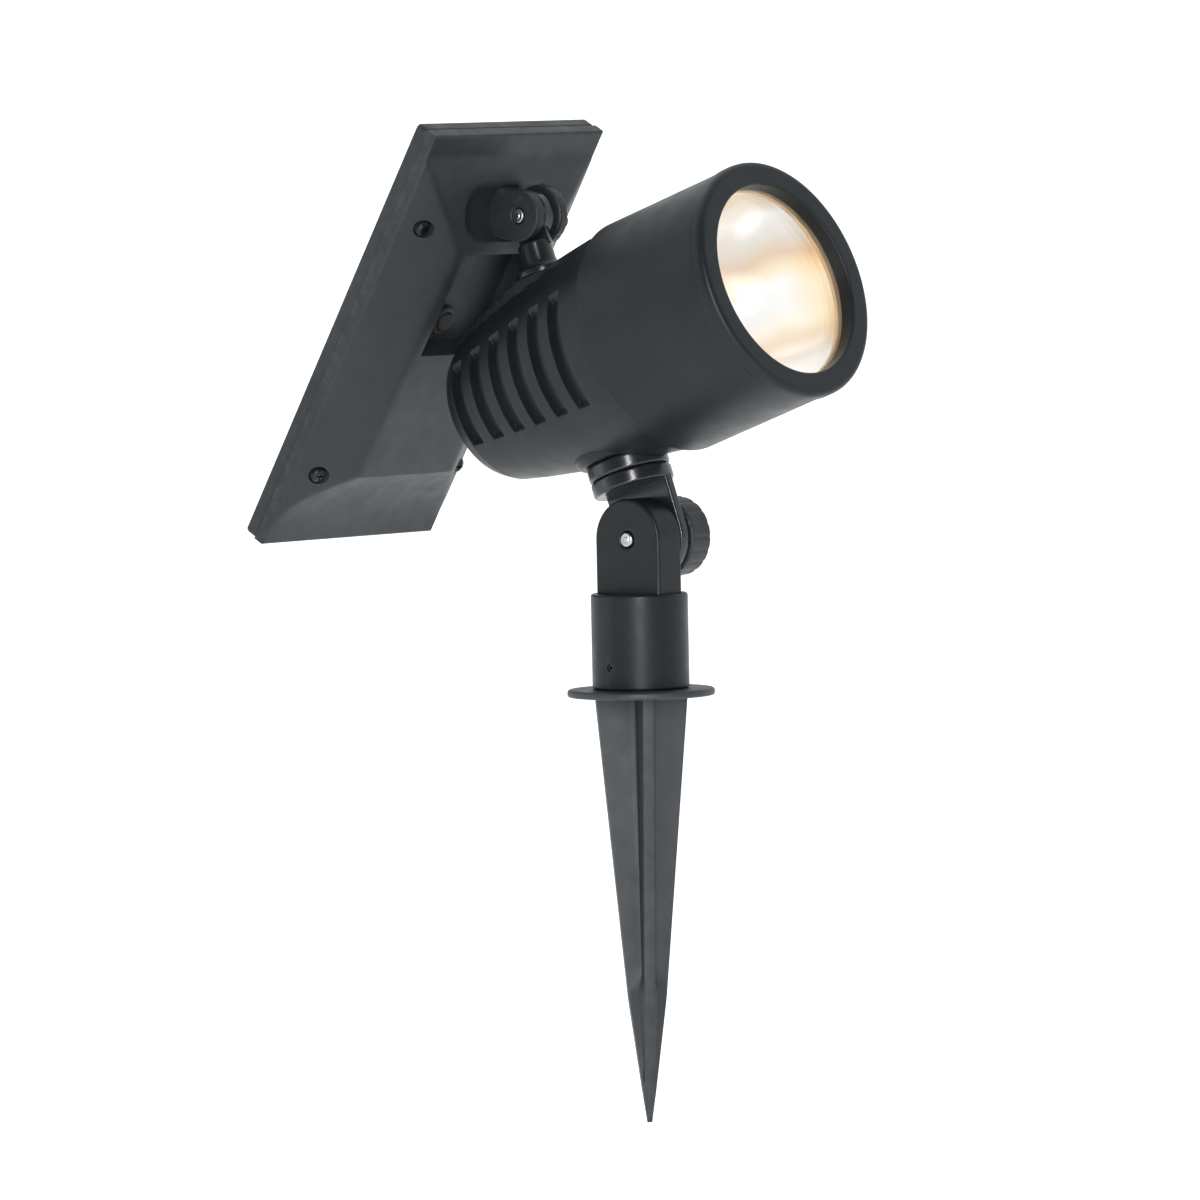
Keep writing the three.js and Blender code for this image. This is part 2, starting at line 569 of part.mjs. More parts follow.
// A trough round the upper pivot that the neck and the knob turn in.
const relief = (skin) => rodX(RELIEF.radius + skin, RELIEF.from - skin, RELIEF.to + skin, 0, 0, 40);

function coverScrew([x, down]) {
  const [crown, back] = [depthAt(6.6), depthAt(3.3)];
  const head = turned([[0, crown], [2.6, crown], [3.4, crown + 0.8], [3.4, back], [0, back]], 14);
  const shank = rodY(1.5, back - 0.1, RIM_SPLIT + 2, x, downAt(down), 8);
  const slots = [[2, 0.45], [0.45, 2]].map(([a, b]) =>
    block([x - a, crown - 1, downAt(down) - b], [x + a, crown + 1.2, downAt(down) + b]));
  return cut(join(head.translate(x, 0, downAt(down)), shank), ...slots);
}

// The front frame: a rim round the solar glass, with a ledge behind it.
function frontFrame() {
  const frame = block([-HALF_WIDTH, RIM_SPLIT, PANEL_BOTTOM], [HALF_WIDTH, PANEL_FACE, PANEL_TOP]);
  const opening = block([-HALF_WIDTH + 6, 20, PANEL_BOTTOM + 6], [HALF_WIDTH - 6, 40, PANEL_TOP - 6]);
  const screwHoles = COVER_SCREWS.map(([x, down]) => rodY(1.8, 20, RIM_SPLIT + 3, x, downAt(down), 10));
  const ledge = cut(
    block([-HALF_WIDTH + 5, RIM_SPLIT, PANEL_BOTTOM + 5], [HALF_WIDTH - 5, RIM_SPLIT + 1.6, PANEL_TOP - 5]),
    block([-HALF_WIDTH + 14, 20, PANEL_BOTTOM + 9], [HALF_WIDTH - 14, 40, PANEL_TOP - 9]),
  );
  return cut(join(cut(frame, opening), ledge), ...screwHoles);
}

const insetPlate = (inset, from, to) =>
  block([-HALF_WIDTH + inset, from, PANEL_BOTTOM + inset], [HALF_WIDTH - inset, to, PANEL_TOP - inset]);

function panelSeal() {
  return cut(insetPlate(6.4, RIM_SPLIT + 2, RIM_SPLIT + 2.8), insetPlate(9, RIM_SPLIT, RIM_SPLIT + 5));
}

function batteryCell(down) {
  const profile = [[0, -24.5], [6.8, -24.5], [7.2, -24.1], [7.2, 23], [6.6, 23.6], [2.8, 23.6],
    [2.8, 25], [0, 25]];
  return turned(profile, 16).rotateZ(-Math.PI / 2).translate(0, depthAt(3.4), downAt(down));
}

// A tray over the cells with an end wall for each row of contacts.
function batteryTray() {
  const plate = block([-27.6, depthAt(-4.2), downAt(150)], [27.6, depthAt(-5.4), downAt(98.5)]);
  const ends = [-1, 1].map((side) =>
    block([side * 26.6 - 1, depthAt(8), downAt(150)], [side * 26.6 + 1, depthAt(-4.4), downAt(98.5)]));
  return join(plate, ...ends);
}

function chargeBoard() {
  const board = block([-24, depthAt(-1.3), downAt(93)], [24, depthAt(-2.9), downAt(52)]);
  const coil = rodY(5, depthAt(-2.8), depthAt(-5), 12, downAt(64), 16);
  const chip = block([4, depthAt(-2.8), downAt(84)], [12, depthAt(-4.4), downAt(76)]);
  return cut(join(board, coil, chip), rodY(6.6, 10, 30, SWITCH.x, downAt(SWITCH.down), 16));
}

// A round push button with a flange that keeps it in the cover.
function switchButton() {
  const [face, foot] = [depthAt(6.6), depthAt(0.5)];
  const cap = turned([[0, face], [3.2, face], [4, face + 0.8], [4, foot], [0, foot]], 20);
  return cap.translate(SWITCH.x, 0, downAt(SWITCH.down));
}

function switchBezel() {
  return ringY(4.4, 6.6, depthAt(5.4), depthAt(3.3), 24).translate(SWITCH.x, 0, downAt(SWITCH.down));
}

const switchBody = () => rodY(5.6, depthAt(-1.4), depthAt(-5.4), SWITCH.x, downAt(SWITCH.down), 16);

function panelLead() {
  return lead([[0, depthAt(8), LEAD_HOLE], [0, depthAt(2), LEAD_HOLE - 0.4], [1, depthAt(-1), -17.6],
    [2.4, depthAt(-2), -20.4], [2.8, depthAt(-2.1), -23.5]], 1.2, 10);
}

function addPanel(panel) {
  piece(panel, 'panel_back_cover', backCover(), BLACK_PLASTIC);
  piece(panel, 'panel_front_frame', frontFrame(), BLACK_PLASTIC);
  piece(panel, 'panel_seal', panelSeal(), RUBBER);
  piece(panel, 'solar_laminate', insetPlate(6.4, RIM_SPLIT + 3.1, PANEL_FACE - 0.5), SOLAR_GLASS);
  COVER_SCREWS.forEach((place, i) => piece(panel, `cover_screw_${i + 1}`, coverScrew(place), STEEL));
  [108, 124, 140].forEach((down, i) => piece(panel, `battery_cell_${i + 1}`, batteryCell(down), CELL_SLEEVE));
  piece(panel, 'battery_tray', batteryTray(), BLACK_PLASTIC);
  piece(panel, 'charge_board', chargeBoard(), CIRCUIT_GREEN);
  piece(panel, 'switch_button', switchButton(), RUBBER);
  piece(panel, 'switch_bezel', switchBezel(), BLACK_PLASTIC);
  piece(panel, 'switch_body', switchBody(), BLACK_PLASTIC);
  piece(panel, 'panel_lead', panelLead(), CABLE_SHEATH);
  piece(panel, 'upper_pivot_bolt', pivotBolt(PANEL_EAR[0] - 0.5, 10.7, 0, 0), STEEL);
  piece(panel, 'upper_washer', ringX(BOLT_BORE, 6.5, NECK_PLATE[1] + GAP, NECK_PLATE[1] + 1.2, 18), STEEL);
  piece(panel, 'upper_clamp_knob', clampKnob({
    radius: 12.4, hubRadius: 6.5, hubFrom: NECK_PLATE[1] + 1.5, gripFrom: 7.2, gripTo: 12,
    boreTo: 11.2, flutes: 15,
  }), BLACK_PLASTIC);
}

// ---------- the whole light ----------

const light = new THREE.Group();
addStake(light);

const head = new THREE.Group();
head.position.z = PIVOT_HEIGHT;
head.rotation.x = -LAMP_TILT;
light.add(head);

const lamp = new THREE.Group();
lamp.position.set(LAMP_OFFSET, -LAMP_REACH, LAMP_DROP);
head.add(lamp);
addLamp(lamp);

const panel = new THREE.Group();
panel.position.set(0, PANEL_PIVOT_BACK, PANEL_PIVOT_RISE);
panel.rotation.x = PANEL_LEAN + LAMP_TILT;
lamp.add(panel);
addPanel(panel);

export default light;
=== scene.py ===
# Solar garden spotlight: the visible pieces, finishes, light and camera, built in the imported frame.
import json
import math

import bmesh
import bpy
import numpy as np
from mathutils import Matrix, Vector


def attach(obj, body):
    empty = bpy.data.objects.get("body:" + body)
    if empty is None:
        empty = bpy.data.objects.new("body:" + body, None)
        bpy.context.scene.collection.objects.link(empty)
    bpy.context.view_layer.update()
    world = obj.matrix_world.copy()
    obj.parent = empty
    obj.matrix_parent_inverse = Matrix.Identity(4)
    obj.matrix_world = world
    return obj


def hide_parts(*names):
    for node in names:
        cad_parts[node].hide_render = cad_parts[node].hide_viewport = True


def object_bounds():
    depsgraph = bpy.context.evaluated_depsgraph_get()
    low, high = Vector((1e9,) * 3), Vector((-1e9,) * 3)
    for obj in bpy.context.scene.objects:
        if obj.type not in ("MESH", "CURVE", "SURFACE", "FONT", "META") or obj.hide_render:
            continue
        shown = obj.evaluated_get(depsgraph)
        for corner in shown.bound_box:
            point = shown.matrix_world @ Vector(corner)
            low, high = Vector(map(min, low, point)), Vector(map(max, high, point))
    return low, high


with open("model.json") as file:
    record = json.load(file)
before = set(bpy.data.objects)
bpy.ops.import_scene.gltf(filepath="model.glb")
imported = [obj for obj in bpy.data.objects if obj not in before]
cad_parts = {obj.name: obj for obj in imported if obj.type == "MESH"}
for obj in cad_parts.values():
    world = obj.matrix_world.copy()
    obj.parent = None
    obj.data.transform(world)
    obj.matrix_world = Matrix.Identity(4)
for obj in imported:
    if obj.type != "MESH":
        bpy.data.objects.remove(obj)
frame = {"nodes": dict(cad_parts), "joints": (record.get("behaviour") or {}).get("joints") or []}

CAD_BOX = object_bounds()
MM = 0.001
TURN = 2 * math.pi
X_AXIS = Vector((1, 0, 0))


# ---------- local frames, in millimetres ----------

class Local:
    """A right-handed frame: its origin in metres, its axes as unit vectors, its units millimetres."""

    def __init__(self, origin, y, z):
        self.origin = Vector(origin)
        self.axes = (X_AXIS, Vector(y).normalized(), Vector(z).normalized())

    def span(self, node, axis):
        """The lowest and highest reach of a CAD node along one local axis."""
        vertices = frame["nodes"][node].data.vertices
        reach = [(v.co - self.origin).dot(self.axes[axis]) / MM for v in vertices]
        return min(reach), max(reach)

    def matrix(self):
        turned = Matrix(self.axes).transposed().to_4x4()
        return Matrix.Translation(self.origin) @ turned @ Matrix.Scale(MM, 4)


def joint(name):
    return next(j for j in frame["joints"] if j["name"] == name)


def lamp_frame():
    """x across, y back from the lamp's front face along its axis, z up from that axis."""
    up = Vector(joint("head_swivel")["axis"])
    back = up.cross(X_AXIS)
    start = Local((0, 0, 0), back, up)
    middle = sum(start.span("bezel_ring", 0)) / 2
    front = start.span("bezel_ring", 1)[0]
    height = sum(start.span("bezel_ring", 2)) / 2
    return Local(start.matrix() @ Vector((middle, front, height)), back, up)


def panel_frame():
    """x across, y towards the sun, z up the panel's long side, from the upper pivot."""
    sun = Vector(joint("switch_press")["axis"])
    pivot = Vector(joint("panel_tilt")["pos_m"])
    pivot.x = LAMP.origin.x
    return Local(pivot, sun, X_AXIS.cross(sun))


STAKE = Local((0, 0, 0), (0, 1, 0), (0, 0, 1))
LAMP = lamp_frame()
PANEL = panel_frame()
PIVOT_Z = joint("head_tilt")["pos_m"][2] / MM
BOLT_BORE = 3.3
BOLT_RADIUS = 3


# ---------- shape helpers ----------

COLUMNS = {"x": [2, 0, 1], "y": [1, 2, 0], "z": [0, 1, 2]}


def quads(rows, columns, close_rows=False, close_columns=True):
    """Faces between neighbouring rows of a grid of vertices."""
    faces = []
    for i in range(rows if close_rows else rows - 1):
        for j in range(columns if close_columns else columns - 1):
            below, beside = (i + 1) % rows, (j + 1) % columns
            faces.append((i * columns + j, i * columns + beside,
                          below * columns + beside, below * columns + j))
    return faces


def skin(name, vertices, faces):
    """A mesh object in local millimetres, its doubled vertices merged and its faces turned out."""
    mesh = bpy.data.meshes.new(name)
    mesh.from_pydata([tuple(map(float, v)) for v in vertices], [], faces)
    shell = bmesh.new()
    shell.from_mesh(mesh)
    bmesh.ops.remove_doubles(shell, verts=shell.verts, dist=1e-4)
    bmesh.ops.recalc_face_normals(shell, faces=shell.faces)
    shell.to_mesh(mesh)
    shell.free()
    piece = bpy.data.objects.new(name, mesh)
    bpy.context.scene.collection.objects.link(piece)
    return piece


def rounded(points, closed=False, steps=5):
    """An outline whose points are (a, b) or (a, b, r), with r the reach of a rounded corner."""
    out = []
    for i, point in enumerate(points):
        corner = Vector(point[:2])
        at_end = not closed and i in (0, len(points) - 1)
        if len(point) < 3 or point[2] <= 0 or at_end:
            out.append(tuple(corner))
            continue
        before = Vector(points[i - 1][:2]) - corner
        after = Vector(points[(i + 1) % len(points)][:2]) - corner
        reach = min(point[2], before.length * 0.49, after.length * 0.49)
        start = corner + before.normalized() * reach
        end = corner + after.normalized() * reach
        for k in range(steps + 1):
            t = k / steps
            out.append(tuple(start * (1 - t) ** 2 + corner * 2 * t * (1 - t) + end * t ** 2))
    return out


def lathe(name, profile, axis="z", sides=96, closed=False, shape=None, centre=(0, 0, 0)):
    """A body of revolution from (radius, height) points; shape(radius, height, angles) may vary it."""
    angles = np.linspace(0, TURN, sides, endpoint=False)
    rings = []
    for radius, height in profile:
        reach = np.full(sides, radius) if shape is None else shape(radius, height, angles)
        rings.append(np.column_stack(
            [reach * np.cos(angles), reach * np.sin(angles), np.full(sides, height)]))
    vertices = np.vstack(rings)[:, COLUMNS[axis]] + np.array(centre)
    return skin(name, vertices, quads(len(profile), sides, close_rows=closed))


def plate(name, outlines, low, high, bevel, axis="x", centre=(0, 0, 0)):
    """A flat piece with rounded edges: the first outline is its edge, the others are holes."""
    curve = bpy.data.curves.new(name, "CURVE")
    curve.dimensions = "2D"
    curve.fill_mode = "BOTH"
    curve.extrude = (high - low) / 2 - bevel
    curve.bevel_depth = bevel
    curve.bevel_resolution = 3
    curve.offset = -bevel
    for outline in outlines:
        spline = curve.splines.new("POLY")
        spline.points.add(len(outline) - 1)
        for point, (a, b) in zip(spline.points, outline):
            point.co = (a, b, 0, 1)
        spline.use_cyclic_u = True
    holder = bpy.data.objects.new(name, curve)
    bpy.context.scene.collection.objects.link(holder)
    solid = holder.evaluated_get(bpy.context.evaluated_depsgraph_get()).to_mesh()
    vertices = np.array([tuple(v.co) for v in solid.vertices])
    vertices[:, 2] += (high + low) / 2
    faces = [tuple(p.vertices) for p in solid.polygons]
    bpy.data.objects.remove(holder)
    return skin(name, vertices[:, COLUMNS[axis]] + np.array(centre), faces)


def circle(radius, sides=48):
    angles = [TURN * i / sides for i in range(sides)]
    return [(radius * math.cos(a), radius * math.sin(a)) for a in angles]


def tab(radius, reach, towards, corner=0.0, steps=32):
    """A half circle about the pivot with straight sides that run `reach` towards an angle."""
    arc = [towards + math.pi / 2 + math.pi * i / steps for i in range(steps + 1)]
    points = [(radius * math.cos(a), radius * math.sin(a)) for a in arc]
    step = (reach * math.cos(towards), reach * math.sin(towards))
    ends = [points[-1], points[0]]
    return rounded(points + [(a + step[0], b + step[1], corner) for a, b in ends], closed=True)


def merge(first, *others, how="UNION"):
    """Joins closed pieces to the first, or cuts them out of it."""
    for other in others:
        step = first.modifiers.new("merge", "BOOLEAN")
        step.operation = how
        step.solver = "EXACT"
        step.object = other
        evaluated = first.evaluated_get(bpy.context.evaluated_depsgraph_get())
        solid = bpy.data.meshes.new_from_object(evaluated)
        first.modifiers.clear()
        first.data = solid
        bpy.data.objects.remove(other)
    return first


def cut(first, *others):
    return merge(first, *others, how="DIFFERENCE")


def rod(radius, low, high, axis, centre=(0, 0, 0), sides=48):
    return lathe("tool", [(0, low), (radius, low), (radius, high), (0, high)], axis, sides, centre=centre)


def settle(piece, place, body, slot, finish, *nodes, sharp=32):
    """Puts a local piece in the frame, gives it its finish and lets it ride on its body."""
    piece.data.transform(place.matrix())
    piece.data.materials.clear()
    piece.data.materials.append(finish)
    for polygon in piece.data.polygons:
        polygon.material_index = 0
    piece.data.shade_smooth()
    piece.data.set_sharp_from_angle(angle=math.radians(sharp))
    flats = piece.modifiers.new("flat faces", "WEIGHTED_NORMAL")
    flats.keep_sharp = True
    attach(piece, body)
    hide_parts(*nodes)
    return piece


# ---------- finishes ----------

class Finish:
    """A procedural material: a Principled shader with its own small node helpers."""

    def __init__(self, name, **uniform):
        self.material = bpy.data.materials.new(name)
        self.material.use_nodes = True
        self.tree = self.material.node_tree
        self.shader = self.tree.nodes["Principled BSDF"]
        self.coords = self.node("ShaderNodeTexCoord")
        for socket, value in uniform.items():
            self.shader.inputs[socket.replace("_", " ")].default_value = value

    def node(self, kind, links=None, **values):
        made = self.tree.nodes.new(kind)
        for key, value in values.items():
            setattr(made, key, value)
        for socket, source in (links or {}).items():
            target = made.inputs[socket]
            if isinstance(source, bpy.types.NodeSocket):
                self.tree.links.new(source, target)
            else:
                target.default_value = source
        return made

    def noise(self, size, detail=2.0, where="Object"):
        """Soft random values whose patches are about `size` millimetres across."""
        links = {"Vector": self.coords.outputs[where], "Scale": 1 / (size * MM), "Detail": detail}
        return self.node("ShaderNodeTexNoise", links).outputs["Fac"]

    def ramp(self, source, *stops):
        """Colours or grey values along a value from 0 to 1."""
        made = self.node("ShaderNodeValToRGB", {"Fac": source})
        elements = made.color_ramp.elements
        while len(elements) < len(stops):
            elements.new(0.5)
        for element, (position, colour) in zip(elements, stops):
            element.position = position
            element.color = (*colour, 1) if isinstance(colour, tuple) else (colour, colour, colour, 1)
        return made.outputs["Color"]

    def blend(self, factor, first, second, how="MIX"):
        made = self.node("ShaderNodeMix", data_type="RGBA", blend_type=how)
        for index, source in ((0, factor), (6, first), (7, second)):
            if isinstance(source, bpy.types.NodeSocket):
                self.tree.links.new(source, made.inputs[index])
            else:
                made.inputs[index].default_value = source if index == 0 else (*source, 1)
        return made.outputs[2]

    def feed(self, socket, source):
        self.tree.links.new(source, self.shader.inputs[socket])

    def patches(self, socket, size, detail, low, high):
        """Feeds a socket with soft patches that run from one colour or value to another."""
        self.feed(socket, self.ramp(self.noise(size, detail), low, high))

    def bump(self, source, strength, height):
        links = {"Height": source, "Strength": strength, "Distance": height * MM}
        if self.shader.inputs["Normal"].is_linked:
            links["Normal"] = self.shader.inputs["Normal"].links[0].from_socket
        self.feed("Normal", self.node("ShaderNodeBump", links).outputs["Normal"])


def scaled(colour, factor):
    return tuple(channel * factor for channel in colour)


def solid_finish(name, colour, roughness, grain, grain_height, spread=0.18, wear=0.0, peel=0.0, **uniform):
    """Paint, plastic, rubber or metal: patchy colour and gloss, fine grain and brighter worn edges."""
    finish = Finish(name, **uniform)
    dull, bright = scaled(colour, 1 - spread), scaled(colour, 1 + spread)
    base = finish.ramp(finish.noise(26, 4), (0.3, dull), (0.72, bright))
    if wear:
        edges = finish.ramp(finish.node("ShaderNodeNewGeometry").outputs["Pointiness"],
                            (0.51, 0.0), (0.56, 1.0))
        scratches = finish.ramp(finish.noise(5, 5), (0.45, 0.0), (0.62, 1.0))
        scuffs = finish.blend(1.0, edges, scratches, "MULTIPLY")
        amount = finish.blend(1.0, scuffs, (wear, wear, wear), "MULTIPLY")
        base = finish.blend(amount, base, scaled(colour, 4.0))
    finish.feed("Base Color", base)
    finish.patches("Roughness", 9, 3, (0.3, roughness * 0.88), (0.75, roughness * 1.14))
    finish.bump(finish.noise(grain, 2), 0.5, grain_height)
    if peel:
        finish.bump(finish.noise(2.4, 1), 0.35, peel)
    return finish.material


def brushed_finish(name, colour, roughness, stretch, **uniform):
    """Turned or brushed metal: fine lines drawn out along one direction."""
    finish = Finish(name, Metallic=1.0, **uniform)
    drawn = finish.node("ShaderNodeMapping", {"Vector": finish.coords.outputs["Object"], "Scale": stretch})
    links = {"Vector": drawn.outputs["Vector"], "Scale": 900.0, "Detail": 3.0}
    hairlines = finish.node("ShaderNodeTexNoise", links).outputs["Fac"]
    finish.patches("Base Color", 12, 3, (0.3, scaled(colour, 0.82)), (0.75, colour))
    finish.feed("Roughness", finish.ramp(hairlines, (0.3, roughness * 0.7), (0.7, roughness * 1.3)))
    finish.bump(hairlines, 0.25, 0.03)
    return finish.material


def painted_glow_finish():
    """The reflector bowl: a dark surface with painted light, glowing in warm bands that paint the emitter's
    light reflected in it.
    """
    finish = Finish("reflector_painted_glow", Metallic=1.0, Roughness=0.18)
    place = finish.node("ShaderNodeSeparateXYZ", {"Vector": finish.coords.outputs["UV"]})
    waver = finish.node("ShaderNodeMath", {0: finish.noise(22, 1), 1: 0.12}, operation="MULTIPLY_ADD")
    waver.inputs[2].default_value = -0.06
    height = finish.node("ShaderNodeMath", {0: place.outputs["Y"], 1: waver.outputs[0]}, operation="ADD")
    bands = finish.ramp(
        height.outputs[0],
        (0.06, (0.78, 0.75, 0.69)), (0.15, (0.82, 0.80, 0.76)), (0.23, (0.74, 0.60, 0.47)),
        (0.31, (0.84, 0.66, 0.46)), (0.39, (1.0, 0.94, 0.82)), (0.47, (1.0, 1.0, 1.0)),
        (0.57, (1.0, 1.0, 0.97)), (0.64, (0.98, 0.82, 0.58)), (0.71, (0.78, 0.56, 0.38)),
        (0.81, (0.74, 0.69, 0.62)), (0.90, (0.86, 0.85, 0.84)), (0.97, (0.66, 0.57, 0.46)))
    sides = finish.ramp(
        place.outputs["X"],
        (0.30, (0.92, 0.70, 0.46)), (0.55, (1.0, 0.93, 0.82)), (0.72, (1.0, 1.0, 1.0)),
        (0.91, (1.0, 1.0, 1.0)), (0.98, (1.0, 0.84, 0.58)))
    # painted reflection: emitted warm bands stand in for the lit emitter's light in the bowl
    finish.feed("Emission Color", finish.blend(1.0, bands, sides, "MULTIPLY"))
    finish.shader.inputs["Emission Strength"].default_value = 0.92
    finish.patches("Base Color", 15, 3, (0.3, (0.14, 0.13, 0.12)), (0.7, (0.2, 0.19, 0.18)))
    finish.bump(finish.noise(6, 2), 0.12, 0.05)
    return finish.material


def emitter_finish():
    """The lit light source: a warm disc with slightly uneven colour."""
    finish = Finish("emitter_glow", Roughness=0.4)
    finish.patches("Base Color", 2, 2, (0.3, (0.9, 0.62, 0.2)), (0.7, (1.0, 0.74, 0.3)))
    finish.patches("Emission Color", 4, 2, (0.3, (1.0, 0.86, 0.6)), (0.7, (1.0, 0.93, 0.76)))
    finish.shader.inputs["Emission Strength"].default_value = 2.2
    return finish.material


def glass_finish():
    """Clear toughened glass with faint smears."""
    finish = Finish("lens_clear", Transmission_Weight=1.0, IOR=1.45)
    finish.patches("Base Color", 20, 2, (0.3, (0.97, 0.98, 0.98)), (0.7, (1.0, 1.0, 1.0)))
    finish.patches("Roughness", 14, 4, (0.4, 0.0), (0.8, 0.03))
    finish.bump(finish.noise(30, 1), 0.05, 0.02)
    return finish.material


CELL = (0.45, 0.29)
CELL_ROWS = 6


def solar_finish():
    """Dark blue cells under glass: two columns, a pale gap round each cell and fine silver fingers."""
    finish = Finish("solar_cells", Coat_Weight=1.0, Coat_Roughness=0.04)
    place = finish.coords.outputs["UV"]
    black, white = (0, 0, 0, 1), (1, 1, 1, 1)
    gaps = finish.node("ShaderNodeTexBrick", {
        "Vector": place, "Color1": black, "Color2": black, "Mortar": white, "Scale": 1.0,
        "Mortar Size": 0.008, "Mortar Smooth": 0.1, "Brick Width": CELL[0], "Row Height": CELL[1]},
        offset=0.0)
    axes = finish.node("ShaderNodeSeparateXYZ", {"Vector": place})
    fingers = lines(finish, axes.outputs["Y"], 0.02, 0.12)
    bars = lines(finish, axes.outputs["X"], 0.15, 0.06)
    silicon = finish.ramp(
        finish.noise(9, 5), (0.3, (0.006, 0.012, 0.045)), (0.7, (0.012, 0.026, 0.085)))
    printed = finish.blend(fingers, silicon, (0.05, 0.065, 0.11))
    printed = finish.blend(bars, printed, (0.35, 0.36, 0.38))
    finish.feed("Base Color", finish.blend(gaps.outputs["Color"], printed, (0.55, 0.57, 0.6)))
    finish.patches("Roughness", 16, 3, (0.3, 0.22), (0.7, 0.34))
    finish.bump(finish.noise(1.2, 1), 0.08, 0.02)
    return finish.material


def lines(finish, along, pitch, share):
    """1 on thin lines that repeat every `pitch` and take up `share` of it, 0 between them."""
    phase = finish.node("ShaderNodeMath", {0: along, 1: pitch}, operation="DIVIDE")
    part = finish.node("ShaderNodeMath", {0: phase.outputs[0]}, operation="FRACT")
    return finish.node("ShaderNodeMath", {0: part.outputs[0], 1: share}, operation="LESS_THAN").outputs[0]


PAINT = solid_finish(
    "satin_paint", (0.0075, 0.0092, 0.0106), 0.4, 0.7, 0.02, wear=0.2, peel=0.03, Specular_IOR_Level=0.2)
GLOSS = solid_finish(
    "gloss_ring", (0.009, 0.0102, 0.012), 0.22, 1.2, 0.006, Specular_IOR_Level=0.4)
COVER = solid_finish(
    "moulded_cover", (0.0135, 0.0166, 0.0192), 0.5, 0.45, 0.03, wear=0.2, Specular_IOR_Level=0.32)
PLASTIC = solid_finish(
    "moulded_black", (0.012, 0.0136, 0.015), 0.5, 0.45, 0.03, wear=0.2, Specular_IOR_Level=0.35)
STAKE_PLASTIC = solid_finish(
    "stake_plastic", (0.0165, 0.0195, 0.0228), 0.52, 0.6, 0.04, wear=0.2, peel=0.04, Specular_IOR_Level=0.42)
RUBBER = solid_finish("seal_rubber", (0.009, 0.009, 0.0095), 0.75, 0.5, 0.03)
STEEL = brushed_finish("pivot_steel", (0.42, 0.42, 0.43), 0.32, (1.0, 0.2, 0.2))
DARK_STEEL = solid_finish(
    "blackened_steel", (0.022, 0.023, 0.025), 0.4, 0.5, 0.01, wear=0.2, Metallic=0.8)
ALUMINIUM = brushed_finish("bare_aluminium", (0.66, 0.67, 0.69), 0.4, (0.2, 1.0, 0.2))
BOARD = solid_finish("circuit_board", (0.012, 0.09, 0.035), 0.42, 1.5, 0.03)
SLEEVE = solid_finish("cell_sleeve", (0.02, 0.09, 0.16), 0.35, 3.0, 0.02)
# pale amber tone: partly the gasket's own pale silicone, partly painted warm light from the lamp
SILICONE_AND_WARM_LIGHT = solid_finish("pale_silicone_with_painted_warm_light", (0.72, 0.55, 0.36), 0.5, 0.6, 0.02, spread=0.08)
SHEATH = solid_finish("cable_sheath", (0.011, 0.011, 0.012), 0.55, 0.6, 0.02)
REFLECTOR_PAINTED_GLOW = painted_glow_finish()
EMITTER = emitter_finish()
GLASS = glass_finish()
SOLAR = solar_finish()


# ---------- stake and post ----------

FIN_TURN = math.radians(48)
FLANGE_RADIUS = STAKE.span("ground_stake", 0)[1]
STAKE_TIP = STAKE.span("ground_stake", 2)[0]
SOCKET_RADIUS = -STAKE.span("pivot_post", 0)[0]
SOCKET_BORE = 16.3
SOCKET_FOOT = 3.3
FLANGE_THICKNESS = 3
SPIGOT_RADIUS = 16
SPIGOT_TOP = 29
SPIGOT_WALL = 3
SOCKET_TOP = 41.4
SET_SCREW_HEIGHT = sum(STAKE.span("post_set_screw", 2)) / 2
POST_RADIUS = 16.4
POST_HALF = 7.5


def fin_section(z):
    """Half width, thickness and core radius of the finned blade at one height."""
    half = np.interp(z, [STAKE_TIP, -122, 0], [1.0, 7.7, 18.7])
    core = np.interp(z, [STAKE_TIP, -118, -112, 0], [0.9, 6.5, 3.4, 4.6])
    return half, min(4.6, 1.7 * half), core


def blade():
    """Four tapering fins round a slim core, which swells into a solid point."""
    rings = []
    heights = np.concatenate([np.linspace(STAKE_TIP, -120, 16), np.linspace(-117, 1.5, 26)])
    for z in heights:
        half, thick, core = fin_section(z)
        side, edge = thick / 2, min(0.7, thick * 0.25)
        foot = min(max(core * 0.95, side) + 0.9, half - edge)
        diagonal = min(core, (foot + side) / 2 * 1.2) * math.sqrt(0.5)
        quarter = [(half, edge - side), (half, side - edge), (half - edge * 0.3, side - edge * 0.3),
                   (half - edge, side), (foot, side), (diagonal, diagonal), (side, foot), (side, half - edge),
                   (side - edge * 0.3, half - edge * 0.3)]
        for turn in range(4):
            angle = FIN_TURN + turn * math.pi / 2
            c, s = math.cos(angle), math.sin(angle)
            rings += [(a * c - b * s, a * s + b * c, z) for a, b in quarter]
    columns = 4 * 9
    faces = quads(len(heights), columns)
    last = (len(heights) - 1) * columns
    faces += [tuple(range(columns)), tuple(range(last, last + columns))]
    return skin("blade", rings, faces)


def ground_stake():
    hollow = SPIGOT_RADIUS - SPIGOT_WALL
    collar = rounded([
        (0, 0), (FLANGE_RADIUS, 0, 1.1), (FLANGE_RADIUS, FLANGE_THICKNESS, 1.3),
        (SPIGOT_RADIUS, FLANGE_THICKNESS), (SPIGOT_RADIUS, SPIGOT_TOP, 0.8), (hollow, SPIGOT_TOP, 0.8),
        (hollow, FLANGE_THICKNESS + 1), (0, FLANGE_THICKNESS + 1)])
    piece = merge(lathe("ground_stake_detail", collar, sides=128), blade())
    settle(piece, STAKE, "stake", "black_plastic", STAKE_PLASTIC, "ground_stake")


